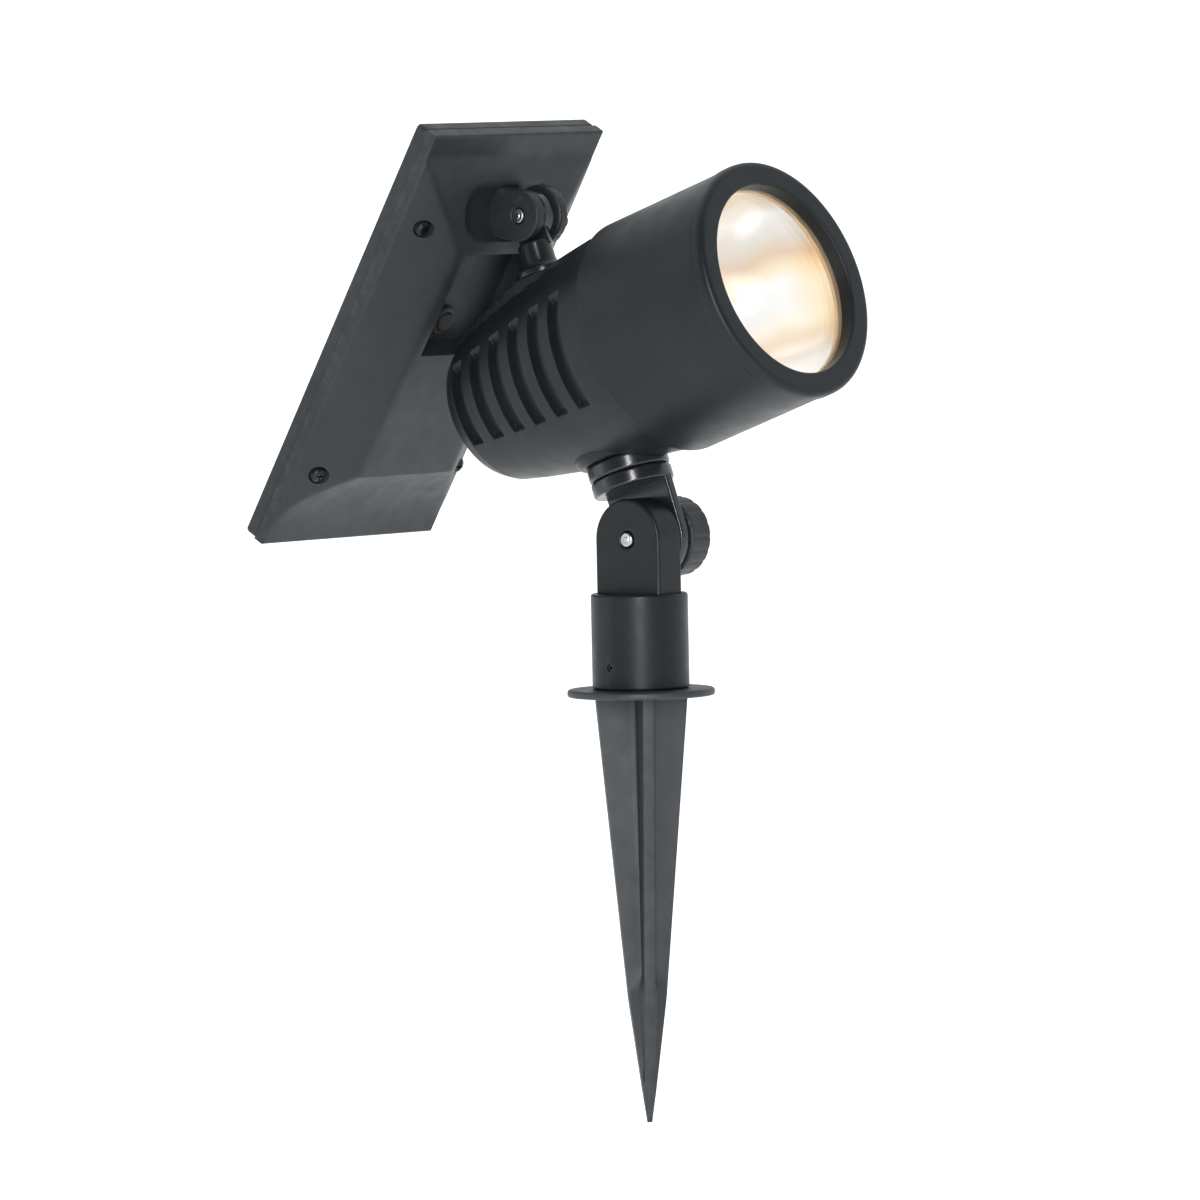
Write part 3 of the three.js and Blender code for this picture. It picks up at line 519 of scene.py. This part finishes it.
def pivot_post():
    step = SOCKET_TOP - 1.2
    socket = rounded([
        (0, SPIGOT_TOP + 1), (SOCKET_BORE, SPIGOT_TOP + 1), (SOCKET_BORE, SOCKET_FOOT, 0.4),
        (SOCKET_RADIUS, SOCKET_FOOT, 0.9), (SOCKET_RADIUS, SOCKET_TOP, 1.5), (POST_RADIUS + 0.5, SOCKET_TOP),
        (POST_RADIUS, step), (0, step)])
    outline = tab(POST_RADIUS, PIVOT_Z - SOCKET_TOP + 4, -math.pi / 2)
    place = (0, 0, PIVOT_Z)
    slab = plate("slab", [outline, circle(BOLT_BORE)], -POST_HALF, POST_HALF, 1.5, centre=place)
    piece = merge(lathe("pivot_post_detail", socket, sides=128), slab)
    cut(piece, rod(1.6, -25, -15, "x", (0, 0, SET_SCREW_HEIGHT), 24))
    settle(piece, STAKE, "stake", "coated_metal", PAINT, "pivot_post")


def pivot_bolt(node, place, body, centre):
    """A bolt with a domed bright end at the left and a plain end inside the knob."""
    left, right = place.span(node, 0)
    profile = rounded([
        (0, left), (1.0, left), (1.3, left + 0.25), (2.6, left + 0.15, 0.5),
        (BOLT_RADIUS, left + 0.7, 0.3), (BOLT_RADIUS, right, 0.5), (0, right)])
    piece = lathe(node + "_detail", profile, "x", 48, centre=(0, *centre))
    settle(piece, place, body, "bolt_steel", STEEL, node)


def washer(node, place, body, radius, centre):
    low, high = place.span(node, 0)
    ring = rounded([
        (BOLT_BORE, low, 0.1), (radius, low, 0.3), (radius, high, 0.3), (BOLT_BORE, high, 0.1)], closed=True)
    piece = lathe(node + "_detail", ring, "x", 64, closed=True, centre=(0, *centre))
    settle(piece, place, body, "bolt_steel", DARK_STEEL, node)


def clamp_knob(node, place, body, hub, grip, bore_to, flutes, centre):
    """A knob with a plain hub and a shallow-fluted grip with rounded rims."""
    low, high = place.span(node, 0)
    edge = place.span(node, 2)
    radius = (edge[1] - edge[0]) / 2
    face = high - 0.8
    profile = rounded([
        (0, bore_to), (BOLT_BORE, bore_to), (BOLT_BORE, low), (hub, low, 0.5), (hub, grip),
        (radius, grip, 1.4), (radius, face, 1.8), (radius * 0.84, face + 0.1, 0.8),
        (radius * 0.78, high, 0.6),
        (radius * 0.45, high, 1.5), (radius * 0.4, high - 0.5), (0, high - 0.5)], steps=6)

    def fluted(reach, height, angles):
        share = max(0.0, reach / radius - 0.86) / 0.14
        return reach - share * 0.018 * radius * np.exp(-((1 - np.cos(angles * flutes)) / 0.35))

    piece = lathe(node + "_detail", profile, "x", flutes * 12, shape=fluted, centre=(0, *centre))
    settle(piece, place, body, "black_plastic", PLASTIC, node)


# ---------- lamp head ----------

LAMP_RADIUS = LAMP.span("bezel_ring", 0)[1]
SHROUD_FRONT, SHROUD_REAR = LAMP.span("front_shroud", 1)
SHROUD_RADIUS = LAMP.span("front_shroud", 0)[1]
LAMP_END = LAMP.span("rear_housing", 1)[1]
LAMP_REACH = sum(LAMP.span("swivel_locknut", 1)) / 2
LAMP_DROP = sum(LAMP.span("lower_pivot_bolt", 2)) / -2
SWIVEL_RADIUS = LAMP.span("swivel_locknut", 0)[1]
LOCKNUT = LAMP.span("swivel_locknut", 2)
SWIVEL_SEAT = -40.6
KNUCKLE_HEAD = (-53.4, -47.4)
LENS_OPENING = 39.5
NECK_BACK = (PANEL.origin - LAMP.origin).dot(LAMP.axes[1]) / MM
NECK_RISE = (PANEL.origin - LAMP.origin).dot(LAMP.axes[2]) / MM
REAR_PROFILE = [
    (57, 46.9), (71, 46.9), (78, 46), (88, 44.5), (106, 41.9), (125, 38.5), (145, 34.2), (156, 31.4),
    (161, 28.6), (LAMP_END, 24.5)]
CASTING_WALL = 4.6
STEM_BORE = 7.3
SPINE = [
    (70, 40), (80, 45.4), (100, 43.2), (104, 42.3), (125, 42.3), (128, 41), (147, 35), (160.5, 30.6),
    (LAMP_END, 28)]
SPINE_HALF = 12
SLOT = {
    "first": 82, "pitch": 13.2, "count": 6, "width": 7.2, "depth": 3.0, "edge": 0.9,
    "bottom": -30, "top": 32, "fade": 1.5}


def soft_max(a, b, blend):
    return (a + b + np.sqrt((a - b) ** 2 + blend ** 2)) / 2


def soft_min(a, b, blend):
    return -soft_max(-a, -b, blend)


def step_up(value, start, end):
    """0 before start, 1 after end, smooth between them."""
    t = np.clip((value - start) / (end - start), 0, 1)
    return t * t * (3 - 2 * t)


def cooling_relief(s, angles):
    """Depth of the cooling slots, on both sides of the casting."""
    elevation = 90 - np.degrees(np.abs((angles + math.pi) % TURN - math.pi))
    bottom, top, fade = SLOT["bottom"], SLOT["top"], SLOT["fade"]
    above = step_up(elevation, bottom - fade, bottom + fade)
    inside = above * (1 - step_up(elevation, top - fade, top + fade))
    phase = (s - SLOT["first"]) % SLOT["pitch"]
    number = (s - SLOT["first"]) // SLOT["pitch"]
    if not 0 <= number < SLOT["count"]:
        return 0 * inside
    edge = SLOT["edge"]
    groove = step_up(phase, 0, edge) * (1 - step_up(phase, SLOT["width"] - edge, SLOT["width"]))
    return inside * groove * SLOT["depth"]


def casting_radius(s, angles):
    at, reach = zip(*REAR_PROFILE)
    body = np.interp(s, at, reach)
    top, height = zip(*SPINE)
    upright = np.maximum(np.cos(angles), 1e-3)
    flat = np.where(np.cos(angles) > 0.2, np.interp(s, top, height) / upright, 0)
    wall = SPINE_HALF / np.maximum(np.abs(np.sin(angles)), 1e-3)
    spine = soft_min(flat, wall, 0.8) * step_up(s, 76, 80)
    return soft_max(body - cooling_relief(s, angles), spine, 0.5)


def casting_rows():
    """Distances along the lamp's axis: close together where a slot's walls stand."""
    rows = list(np.linspace(57, LAMP_END - 0.01, 60))
    for i in range(SLOT["count"]):
        start = SLOT["first"] + i * SLOT["pitch"]
        for share in (0, 0.15, 0.33, 0.5, 0.67, 0.85, 1):
            rows += [start + share * SLOT["edge"], start + SLOT["width"] - share * SLOT["edge"]]
    rows.sort()
    return [s for i, s in enumerate(rows) if i == 0 or s - rows[i - 1] > 0.04]


def rear_housing():
    fine = np.radians(np.linspace(-26, 26, 66))
    rest = np.radians(np.linspace(26, 334, 176))[1:-1]
    angles = np.concatenate([fine, rest])
    rows = [(s, casting_radius(s, angles)) for s in casting_rows()]
    end = rows[-1][1]
    rows += [(LAMP_END, end * share) for share in (0.985, 0.9, 0.6, 0.0)]
    inner_end = LAMP_END - 4
    at, reach = zip(*REAR_PROFILE)
    inner = [(s, np.interp(s, at, reach) - CASTING_WALL) for s in np.linspace(57, inner_end - 3, 40)]
    rows += [(inner_end, np.full(len(angles), r)) for r in (0.0, 20.0, 25.0)]
    rows += [(s, np.full(len(angles), r)) for s, r in reversed(inner)]
    sines, cosines, ones = np.sin(angles), np.cos(angles), np.ones(len(angles))
    rings = [np.column_stack([r * sines, s * ones, r * cosines]) for s, r in rows]
    body = skin("rear_housing_detail", np.vstack(rings), quads(len(rows), len(angles), close_rows=True))
    centre = (0, LAMP_REACH, 0)
    rim = rounded([(0, -34), (20.6, -34), (20.4, -38.2, 1.2), (18.6, SWIVEL_SEAT, 0.8), (0, SWIVEL_SEAT)])
    merge(body, lathe("boss", rim, "z", 96, centre=centre))
    recess = rod(SWIVEL_RADIUS + 0.6, -60, SWIVEL_SEAT, "z", centre, 96)
    cut(body, recess, rod(STEM_BORE, -60, -25, "z", centre, 48))
    cut(body, rod(2.6, 25, 60, "z", (0, NECK_BACK, 0), 24))
    settle(body, LAMP, "head", "coated_metal", PAINT, "rear_housing", sharp=38)


def front_shroud():
    ring = rounded([
        (47.2, SHROUD_FRONT, 0.2), (SHROUD_RADIUS, SHROUD_FRONT, 0.35), (SHROUD_RADIUS, SHROUD_REAR, 2.2),
        (47.2, SHROUD_REAR, 0.2)], closed=True, steps=6)
    piece = lathe("front_shroud_detail", ring, "y", 192, closed=True)
    settle(piece, LAMP, "head", "coated_metal", PAINT, "front_shroud")


def bezel_ring():
    ring = rounded([
        (LENS_OPENING, 0, 1.1), (LAMP_RADIUS, 0, 3.0), (LAMP_RADIUS, 5.9, 0.35), (46.9, 5.9),
        (46.9, 14, 0.4), (43.2, 14, 0.4), (43.2, 6.4), (LENS_OPENING, 6.4, 0.3)], closed=True, steps=6)
    piece = lathe("bezel_ring_detail", ring, "y", 192, closed=True)
    settle(piece, LAMP, "head", "coated_metal", PAINT, "bezel_ring")


def lens_glass():
    low, high = LAMP.span("lens_glass", 1)
    radius = LAMP.span("lens_glass", 0)[1]
    profile = rounded([(0, low), (radius, low, 0.5), (radius, high, 0.5), (0, high)])
    piece = lathe("lens_glass_detail", profile, "y", 128)
    settle(piece, LAMP, "head", "lens_glass", GLASS, "lens_glass")


def reflector():
    t = np.linspace(0, 1, 28) ** 0.7
    bowl = [(10.5 + 29 * math.sqrt(1 - v), 15 + 37 * v) for v in t]
    back = [(radius + 1.4, height) for radius, height in reversed(bowl)]
    ring = rounded([(39.5, 12, 0.4)] + bowl + back + [(42.6, 15), (42.6, 12, 0.3)], closed=True)
    piece = lathe("reflector_detail", ring, "y", 144, closed=True)
    # UVs across the bowl place its painted bands of reflected light
    across = piece.data.uv_layers.new(name="across")
    for loop in piece.data.loops:
        point = piece.data.vertices[loop.vertex_index].co
        across.data[loop.index].uv = (0.5 + point.x / 80, 0.5 + point.z / 80)
    settle(piece, LAMP, "head", "reflector_silver", REFLECTOR_PAINTED_GLOW, "reflector")


def emitter():
    low, high = LAMP.span("led_emitter", 1)
    profile = rounded([(0, low), (6.5, low, 0.4), (8.5, low + 0.6, 0.3), (8.5, high), (0, high)])
    piece = lathe("led_emitter_detail", profile, "y", 64)
    settle(piece, LAMP, "head", "phosphor", EMITTER, "led_emitter")


def head_knuckle():
    low, high = KNUCKLE_HEAD
    centre = (0, LAMP_REACH, 0)
    faces = (POST_HALF + 0.3 - LAMP.origin.x / MM, 12.3 - LAMP.origin.x / MM)
    outline = tab(POST_RADIUS, LAMP_DROP + low + 1, math.pi / 2)
    side = plate("side", [outline, circle(BOLT_BORE)], *faces, 1.1, centre=(0, LAMP_REACH, -LAMP_DROP))
    turntable = rounded([
        (0, low), (SWIVEL_RADIUS, low, 1.3), (SWIVEL_RADIUS, high, 1.2), (7, high), (7, -29, 0.5), (0, -29)])
    head = lathe("head_knuckle_detail", turntable, "z", 96, centre=centre)
    settle(merge(head, side), LAMP, "knuckle", "coated_metal", GLOSS, "head_knuckle")


def swivel_locknut():
    low, high = LOCKNUT
    ring = rounded([
        (STEM_BORE, low), (SWIVEL_RADIUS, low, 1.3), (SWIVEL_RADIUS, high, 1.3), (STEM_BORE, high)],
        closed=True)
    piece = lathe("swivel_locknut_detail", ring, "z", 128, closed=True, centre=(0, LAMP_REACH, 0))
    settle(piece, LAMP, "locknut", "gloss_metal", GLOSS, "swivel_locknut")


def neck_knuckle():
    foot = LAMP.span("neck_knuckle", 2)[0]
    crown = NECK_RISE - 12
    collar = lathe("neck_knuckle_detail", rounded([
        (0, foot), (11.6, foot, 0.4), (11.6, foot + 2.6, 0.9), (7.6, foot + 3.2, 1.2), (7, foot + 6),
        (7, crown, 1.0), (0, crown)]), "z", 96, centre=(0, NECK_BACK, 0))
    outline = tab(10.2, 14, -math.pi / 2, corner=2.5)
    side = plate("side", [outline, circle(BOLT_BORE)], 0.3, 5.2, 0.9, centre=(0, NECK_BACK, NECK_RISE))
    trim = merge(rod(7.6, crown - 2, NECK_RISE - 6, "z", (0, NECK_BACK, 0)),
                 rod(10.2, -10, 10, "x", (0, NECK_BACK, NECK_RISE), 96))
    merge(side, trim, how="INTERSECT")
    piece = cut(merge(collar, side), rod(1.7, foot - 5, crown, "z", (0, NECK_BACK, 0), 24))
    settle(piece, LAMP, "head", "coated_metal", GLOSS, "neck_knuckle")


# ---------- solar panel ----------

HALF_WIDTH = PANEL.span("panel_front_frame", 0)[1]
PANEL_BOTTOM, PANEL_TOP = PANEL.span("panel_front_frame", 2)
RIM_SPLIT, PANEL_FACE = PANEL.span("panel_front_frame", 1)
RIM_BACK = PANEL_FACE - 11.2
PANEL_LENGTH = PANEL_TOP - PANEL_BOTTOM
TOP_SLOPE = math.atan2(15.4, 36.5)
SIDE_SLOPE = 1.67
WEDGE_START, WEDGE_END, COVE_START, COVE_RUN = 10, 46.5, 153, 36
BODY_DEPTH, LOW_DEPTH = 15.4, 13.9
RECESS = {"half": 23.6, "from": 47.6, "to": 95, "floor": 3}
TROUGH = {"radius": 15, "ball": -15, "to": 21}
SCREWS = [(x, k) for x in (-43.8, 43.8) for k in (40, 156)]
SWITCH = (-5, 85)
RIM_EDGE = 1.0
LEDGE = 4
CORNER_STEPS = 6
CORNER_POINTS = 4 * (CORNER_STEPS + 1)


def cover_depth(x, k, inset=0.0):
    """How far the cover stands out behind its rim, k down from the top edge; inset gives its inside."""
    wedge = (k - WEDGE_START - 2.6 * inset) * math.tan(TOP_SLOPE)
    back = BODY_DEPTH - inset - (k - WEDGE_END) * (BODY_DEPTH - LOW_DEPTH) / (COVE_START - WEDGE_END)
    t = np.clip((k - COVE_START + inset) / COVE_RUN, 0, 1)
    cove = (LOW_DEPTH - inset) * (1 - np.sin(t * math.pi / 2)) ** 1.15
    side = (HALF_WIDTH - inset * 1.9 - np.abs(x)) / SIDE_SLOPE
    body = soft_min(soft_min(wedge, np.where(t > 0, cove, back), 0.7), side, 0.9)
    body = np.maximum(body, 0.0) if inset == 0 else body
    z = PANEL_TOP - k
    reach = TROUGH["radius"] + inset
    past = np.minimum(x - TROUGH["ball"], 0)
    round_floor = RIM_BACK - np.sqrt(np.maximum(reach ** 2 - z ** 2 - past ** 2, 0))
    across = (x < TROUGH["to"] + inset) & (np.hypot(z, past) < reach)
    body = np.where(across, np.minimum(body, round_floor), body)
    hole = (np.abs(x) < RECESS["half"] + inset) & (k > RECESS["from"] - inset) & (k < RECESS["to"] + inset)
    return np.where(hole, np.minimum(body, RECESS["floor"] - inset), body)


def cover_lines(length, steps, edges):
    """Grid lines from 0 to length, with pairs close together at each wall."""
    found = list(np.linspace(0, length, steps))
    found += [0.12, 0.35, 0.65, RIM_EDGE, LEDGE - 0.1, LEDGE + 0.1]
    found += [length - v for v in (0.12, 0.35, 0.65, RIM_EDGE, LEDGE - 0.1, LEDGE + 0.1)]
    for edge in edges:
        found += [edge - 0.08, edge + 0.08]
    found = sorted(found)
    return np.array([v for i, v in enumerate(found) if i == 0 or v - found[i - 1] > 0.05])


def back_cover():
    walls_x = [HALF_WIDTH + v for v in (-RECESS["half"], RECESS["half"], TROUGH["to"])]
    walls_x += [HALF_WIDTH + v for v in (-RECESS["half"] - 2.2, RECESS["half"] + 2.2)]
    xs = cover_lines(2 * HALF_WIDTH, 84, walls_x) - HALF_WIDTH
    walls_k = [RECESS["from"], RECESS["to"], RECESS["from"] - 2.2, RECESS["to"] + 2.2, COVE_START]
    ks = cover_lines(PANEL_LENGTH, 150, walls_k)
    x, k = np.meshgrid(xs, ks)
    border = np.minimum.reduce([x + HALF_WIDTH, HALF_WIDTH - x, k, PANEL_LENGTH - k])
    lost = RIM_EDGE - np.sqrt(np.maximum(RIM_EDGE ** 2 - np.maximum(RIM_EDGE - border, 0) ** 2, 0))
    outer = RIM_BACK - cover_depth(x, k) + lost
    inner = np.minimum(RIM_BACK - cover_depth(x, k, 2.2), RIM_BACK + 2)
    flange = RIM_SPLIT - 0.3
    inner = np.where(border < LEDGE, flange, inner)
    for screw_x, screw_k in SCREWS:
        inner = np.where(np.hypot(x - screw_x, k - screw_k) < 5, flange, inner)
    rows, columns = x.shape
    top = np.column_stack([x.ravel(), outer.ravel(), (PANEL_TOP - k).ravel()])
    low = np.column_stack([x.ravel(), inner.ravel(), (PANEL_TOP - k).ravel()])
    sheet = quads(rows, columns, close_columns=False)
    count = rows * columns
    rim = list(range(columns)) + [i * columns + columns - 1 for i in range(1, rows)]
    rim += [(rows - 1) * columns + j for j in range(columns - 2, -1, -1)]
    rim += [i * columns for i in range(rows - 2, 0, -1)]
    faces = sheet + [tuple(count + v for v in reversed(face)) for face in sheet]
    faces += [(a, b, count + b, count + a) for a, b in zip(rim, rim[1:] + rim[:1])]
    piece = skin("panel_back_cover_detail", np.vstack([top, low]), faces)
    for screw_x, screw_k in SCREWS:
        cut(piece, rod(3.9, -10, RIM_BACK - 3, "y", (screw_x, 0, PANEL_TOP - screw_k), 40))
    cut(piece, rod(4.4, 10, 30, "y", (SWITCH[0], 0, PANEL_TOP - SWITCH[1]), 40))
    ear = plate("ear", [tab(10.5, 16, -TOP_SLOPE), circle(BOLT_BORE)], -5.2, 0, 0.9)
    merge(ear, rod(TROUGH["radius"] + 1.6, -20, 20, "x", sides=96), how="INTERSECT")
    merge(piece, ear)
    settle(piece, PANEL, "panel", "black_plastic", COVER, "panel_back_cover", sharp=30)


def rounded_frame(inset, corner, y):
    """A ring of points round the panel, `inset` from its edge, with rounded corners."""
    half_x, half_z = HALF_WIDTH - inset, PANEL_LENGTH / 2 - inset
    middle = (PANEL_TOP + PANEL_BOTTOM) / 2
    reach = max(corner - inset, 0.05)
    points = []
    for quarter in range(4):
        sign_x, sign_z = ((1, 1), (-1, 1), (-1, -1), (1, -1))[quarter]
        for i in range(CORNER_STEPS + 1):
            angle = (quarter + i / CORNER_STEPS) * math.pi / 2
            points.append((sign_x * (half_x - reach) + reach * math.cos(angle), y,
                           middle + sign_z * (half_z - reach) + reach * math.sin(angle)))
    return points


def framed(name, profile, corner):
    """A ring or a slab lofted round the panel from (inset, y) points."""
    rings = [rounded_frame(inset, corner, y) for inset, y in profile]
    return skin(name, np.vstack(rings), quads(len(rings), CORNER_POINTS, close_rows=True))


def front_frame():
    profile = rounded([
        (0.5, RIM_SPLIT, 0.2), (0.0, RIM_SPLIT + 0.6, 0.3), (0.0, PANEL_FACE, 1.6), (6, PANEL_FACE, 0.7),
        (6, RIM_SPLIT + 1.6), (9, RIM_SPLIT + 1.6), (9, RIM_SPLIT)], closed=True, steps=4)
    settle(framed("panel_front_frame_detail", profile, 2.2), PANEL, "panel", "black_plastic", COVER,
           "panel_front_frame")


def laminate():
    low, high = PANEL.span("solar_laminate", 1)
    inset = HALF_WIDTH - PANEL.span("solar_laminate", 0)[1]
    profile = rounded([(inset, low), (inset, high, 0.5), (inset + 1, high)])
    rings = [rounded_frame(i, inset + 0.8, y) for i, y in profile]
    last = (len(rings) - 1) * CORNER_POINTS
    ends = [tuple(range(CORNER_POINTS)), tuple(range(last, last + CORNER_POINTS))]
    piece = skin("solar_laminate_detail", np.vstack(rings), quads(len(rings), CORNER_POINTS) + ends)
    across = piece.data.uv_layers.new(name="cells")
    border = inset + 1.2
    wide, tall = 2 * (HALF_WIDTH - border), PANEL_LENGTH - 2 * border
    for loop in piece.data.loops:
        point = piece.data.vertices[loop.vertex_index].co
        across.data[loop.index].uv = (2 * CELL[0] * (point.x / wide + 0.5),
                                      CELL_ROWS * CELL[1] * (PANEL_TOP - border - point.z) / tall)
    settle(piece, PANEL, "panel", "solar_glass", SOLAR, "solar_laminate")


def cover_screw(number, screw_x, screw_k):
    """A pan-head screw with a cross recess, deep in its counterbore."""
    node = f"cover_screw_{number}"
    crown, back = PANEL.span(node, 1)
    seat = crown + 3.3
    centre = (screw_x, 0, PANEL_TOP - screw_k)
    head = lathe(node + "_detail", rounded([
        (0, crown), (2.2, crown, 0.8), (3.4, crown + 1.0, 0.6), (3.4, seat), (1.5, seat), (1.5, back, 0.4),
        (0, back)]), "y", 48, centre=centre)
    for long, wide in ((2.0, 0.42), (0.42, 2.0)):
        corners = [(-long, -wide), (long, -wide), (long, wide), (-long, wide)]
        vertices = [(a + screw_x, y, b + centre[2]) for y in (crown - 1, crown + 1.2) for a, b in corners]
        slot = skin("slot", vertices, quads(2, 4) + [(0, 1, 2, 3), (4, 5, 6, 7)])
        cut(head, slot)
    settle(head, PANEL, "panel", "bolt_steel", DARK_STEEL, node)


def switch():
    centre = (SWITCH[0], 0, PANEL_TOP - SWITCH[1])
    low, high = PANEL.span("switch_button", 1)
    cap = rounded([(0, low + 0.35), (2.2, low, 0.6), (4, low, 1.0), (4, high), (0, high)])
    button = lathe("switch_button_detail", cap, "y", 64, centre=centre)
    settle(button, PANEL, "switch", "seal_rubber", RUBBER, "switch_button")
    low, high = PANEL.span("switch_bezel", 1)
    ring = rounded([(4.4, low, 0.3), (6.6, low, 1.0), (6.6, high), (4.4, high)], closed=True)
    bezel = lathe("switch_bezel_detail", ring, "y", 64, closed=True, centre=centre)
    settle(bezel, PANEL, "panel", "black_plastic", PLASTIC, "switch_bezel")


# ---------- the pieces ----------

ground_stake()
pivot_post()
head_knuckle()
swivel_locknut()
rear_housing()
front_shroud()
bezel_ring()
lens_glass()
reflector()
emitter()
neck_knuckle()
back_cover()
front_frame()
laminate()
by_height = sorted(SCREWS, key=lambda place: (place[1], place[0]))
for number, (screw_x, screw_k) in enumerate(by_height, start=1):
    cover_screw(number, screw_x, screw_k)
switch()
LOWER_PIVOT, UPPER_PIVOT = (0, PIVOT_Z), (0, 0)
pivot_bolt("lower_pivot_bolt", STAKE, "stake", LOWER_PIVOT)
pivot_bolt("upper_pivot_bolt", PANEL, "panel", UPPER_PIVOT)
washer("lower_washer", STAKE, "stake", 8.5, LOWER_PIVOT)
washer("upper_washer", PANEL, "panel", 6.5, UPPER_PIVOT)
clamp_knob("lower_clamp_knob", STAKE, "lower_knob", 8, 15, 23, 18, LOWER_PIVOT)
clamp_knob("upper_clamp_knob", PANEL, "upper_knob", 6.5, 7.2, 11.2, 15, UPPER_PIVOT)

INNER_FINISHES = {
    "bolt_steel": DARK_STEEL, "seal_rubber": RUBBER, "bare_aluminium": ALUMINIUM, "circuit_board": BOARD,
    "cell_sleeve": SLEEVE, "cable_sheath": SHEATH, "black_plastic": PLASTIC,
}
for node in frame["nodes"].values():
    for slot in node.material_slots:
        kind = slot.material.name.split(".")[0] if slot.material else ""
        if kind in INNER_FINISHES:
            slot.material = INNER_FINISHES[kind]
# the lens gasket's warm tone is partly painted lamp light
for slot in frame["nodes"]["lens_gasket"].material_slots:
    slot.material = SILICONE_AND_WARM_LIGHT


# ---------- floor, light and camera ----------

AZIMUTH, ELEVATION, ROLL = (math.radians(angle) for angle in (-50.57, 3.232, -1.165))
DISTANCE = 3.78233
SIDE_SHIFT, RISE = -0.016568, 0.038413
TOWARDS_CAMERA = Vector((math.sin(AZIMUTH) * math.cos(ELEVATION), -math.cos(AZIMUTH) * math.cos(ELEVATION),
                         math.sin(ELEVATION)))


def camera():
    level_right = (-TOWARDS_CAMERA).cross(Vector((0, 0, 1))).normalized()
    level_up = level_right.cross(-TOWARDS_CAMERA)
    right = math.cos(ROLL) * level_right + math.sin(ROLL) * level_up
    up = math.cos(ROLL) * level_up - math.sin(ROLL) * level_right
    data = bpy.data.cameras.new("camera")
    data.lens = 282.65
    data.sensor_width = 36
    data.clip_end = 200
    seat = bpy.data.objects.new("camera", data)
    place = TOWARDS_CAMERA * DISTANCE + right * SIDE_SHIFT + up * RISE
    turned = Matrix((right, up, TOWARDS_CAMERA)).transposed().to_4x4()
    seat.matrix_world = Matrix.Translation(place) @ turned
    bpy.context.scene.collection.objects.link(seat)
    bpy.context.scene.camera = seat


def floor():
    ground = CAD_BOX[0][2] - 0.0015
    half = 60.0
    corners = [(x * half, y * half, ground) for x, y in ((-1, -1), (1, -1), (1, 1), (-1, 1))]
    piece = skin("floor", corners, [(0, 1, 2, 3)])
    finish = Finish("pale_floor", Roughness=0.9)
    finish.patches("Base Color", 300, 2, (0.3, 0.93), (0.7, 0.95))
    finish.shader.inputs["Emission Color"].default_value = (1, 1, 1, 1)
    finish.shader.inputs["Emission Strength"].default_value = 0.6
    piece.data.materials.append(finish.material)


def area_light(name, place, size, power, target=(0.0, 0.02, 0.12)):
    data = bpy.data.lights.new(name, "AREA")
    data.shape = "RECTANGLE"
    data.size, data.size_y = size
    data.energy = power
    lamp = bpy.data.objects.new(name, data)
    lamp.location = place
    lamp.rotation_euler = (Vector(target) - Vector(place)).to_track_quat("-Z", "Y").to_euler()
    bpy.context.scene.collection.objects.link(lamp)


def studio():
    """White surroundings that darken towards the camera's side, and soft boxes for the highlights."""
    world = bpy.data.worlds.new("studio")
    bpy.context.scene.world = world
    world.use_nodes = True
    nodes, links = world.node_tree.nodes, world.node_tree.links
    background = nodes["Background"]
    direction = nodes.new("ShaderNodeTexCoord")
    facing = nodes.new("ShaderNodeVectorMath")
    facing.operation = "DOT_PRODUCT"
    facing.inputs[1].default_value = TOWARDS_CAMERA
    shade = nodes.new("ShaderNodeMapRange")
    for socket, value in (("From Min", -0.2), ("From Max", 0.8), ("To Min", 1.12), ("To Max", 0.02)):
        shade.inputs[socket].default_value = value
    links.new(direction.outputs["Generated"], facing.inputs[0])
    links.new(facing.outputs["Value"], shade.inputs["Value"])
    links.new(shade.outputs["Result"], background.inputs["Strength"])
    background.inputs["Color"].default_value = (0.93, 0.98, 1, 1)
    right = Vector((math.cos(AZIMUTH), math.sin(AZIMUTH), 0))
    near = TOWARDS_CAMERA
    area_light("top_box", -near * 0.5 + Vector((0, 0, 1.5)), (1.4, 1.4), 3)
    area_light("front_strip", near * 1.9 + Vector((0, 0, 0.35)), (0.26, 1.0), 36)
    area_light("left_box", -right * 1.4 + near * 0.1 + Vector((0, 0, 0.3)), (0.4, 1.2), 1.6)
    bpy.context.scene.view_settings.view_transform = "Standard"


camera()
floor()
studio()
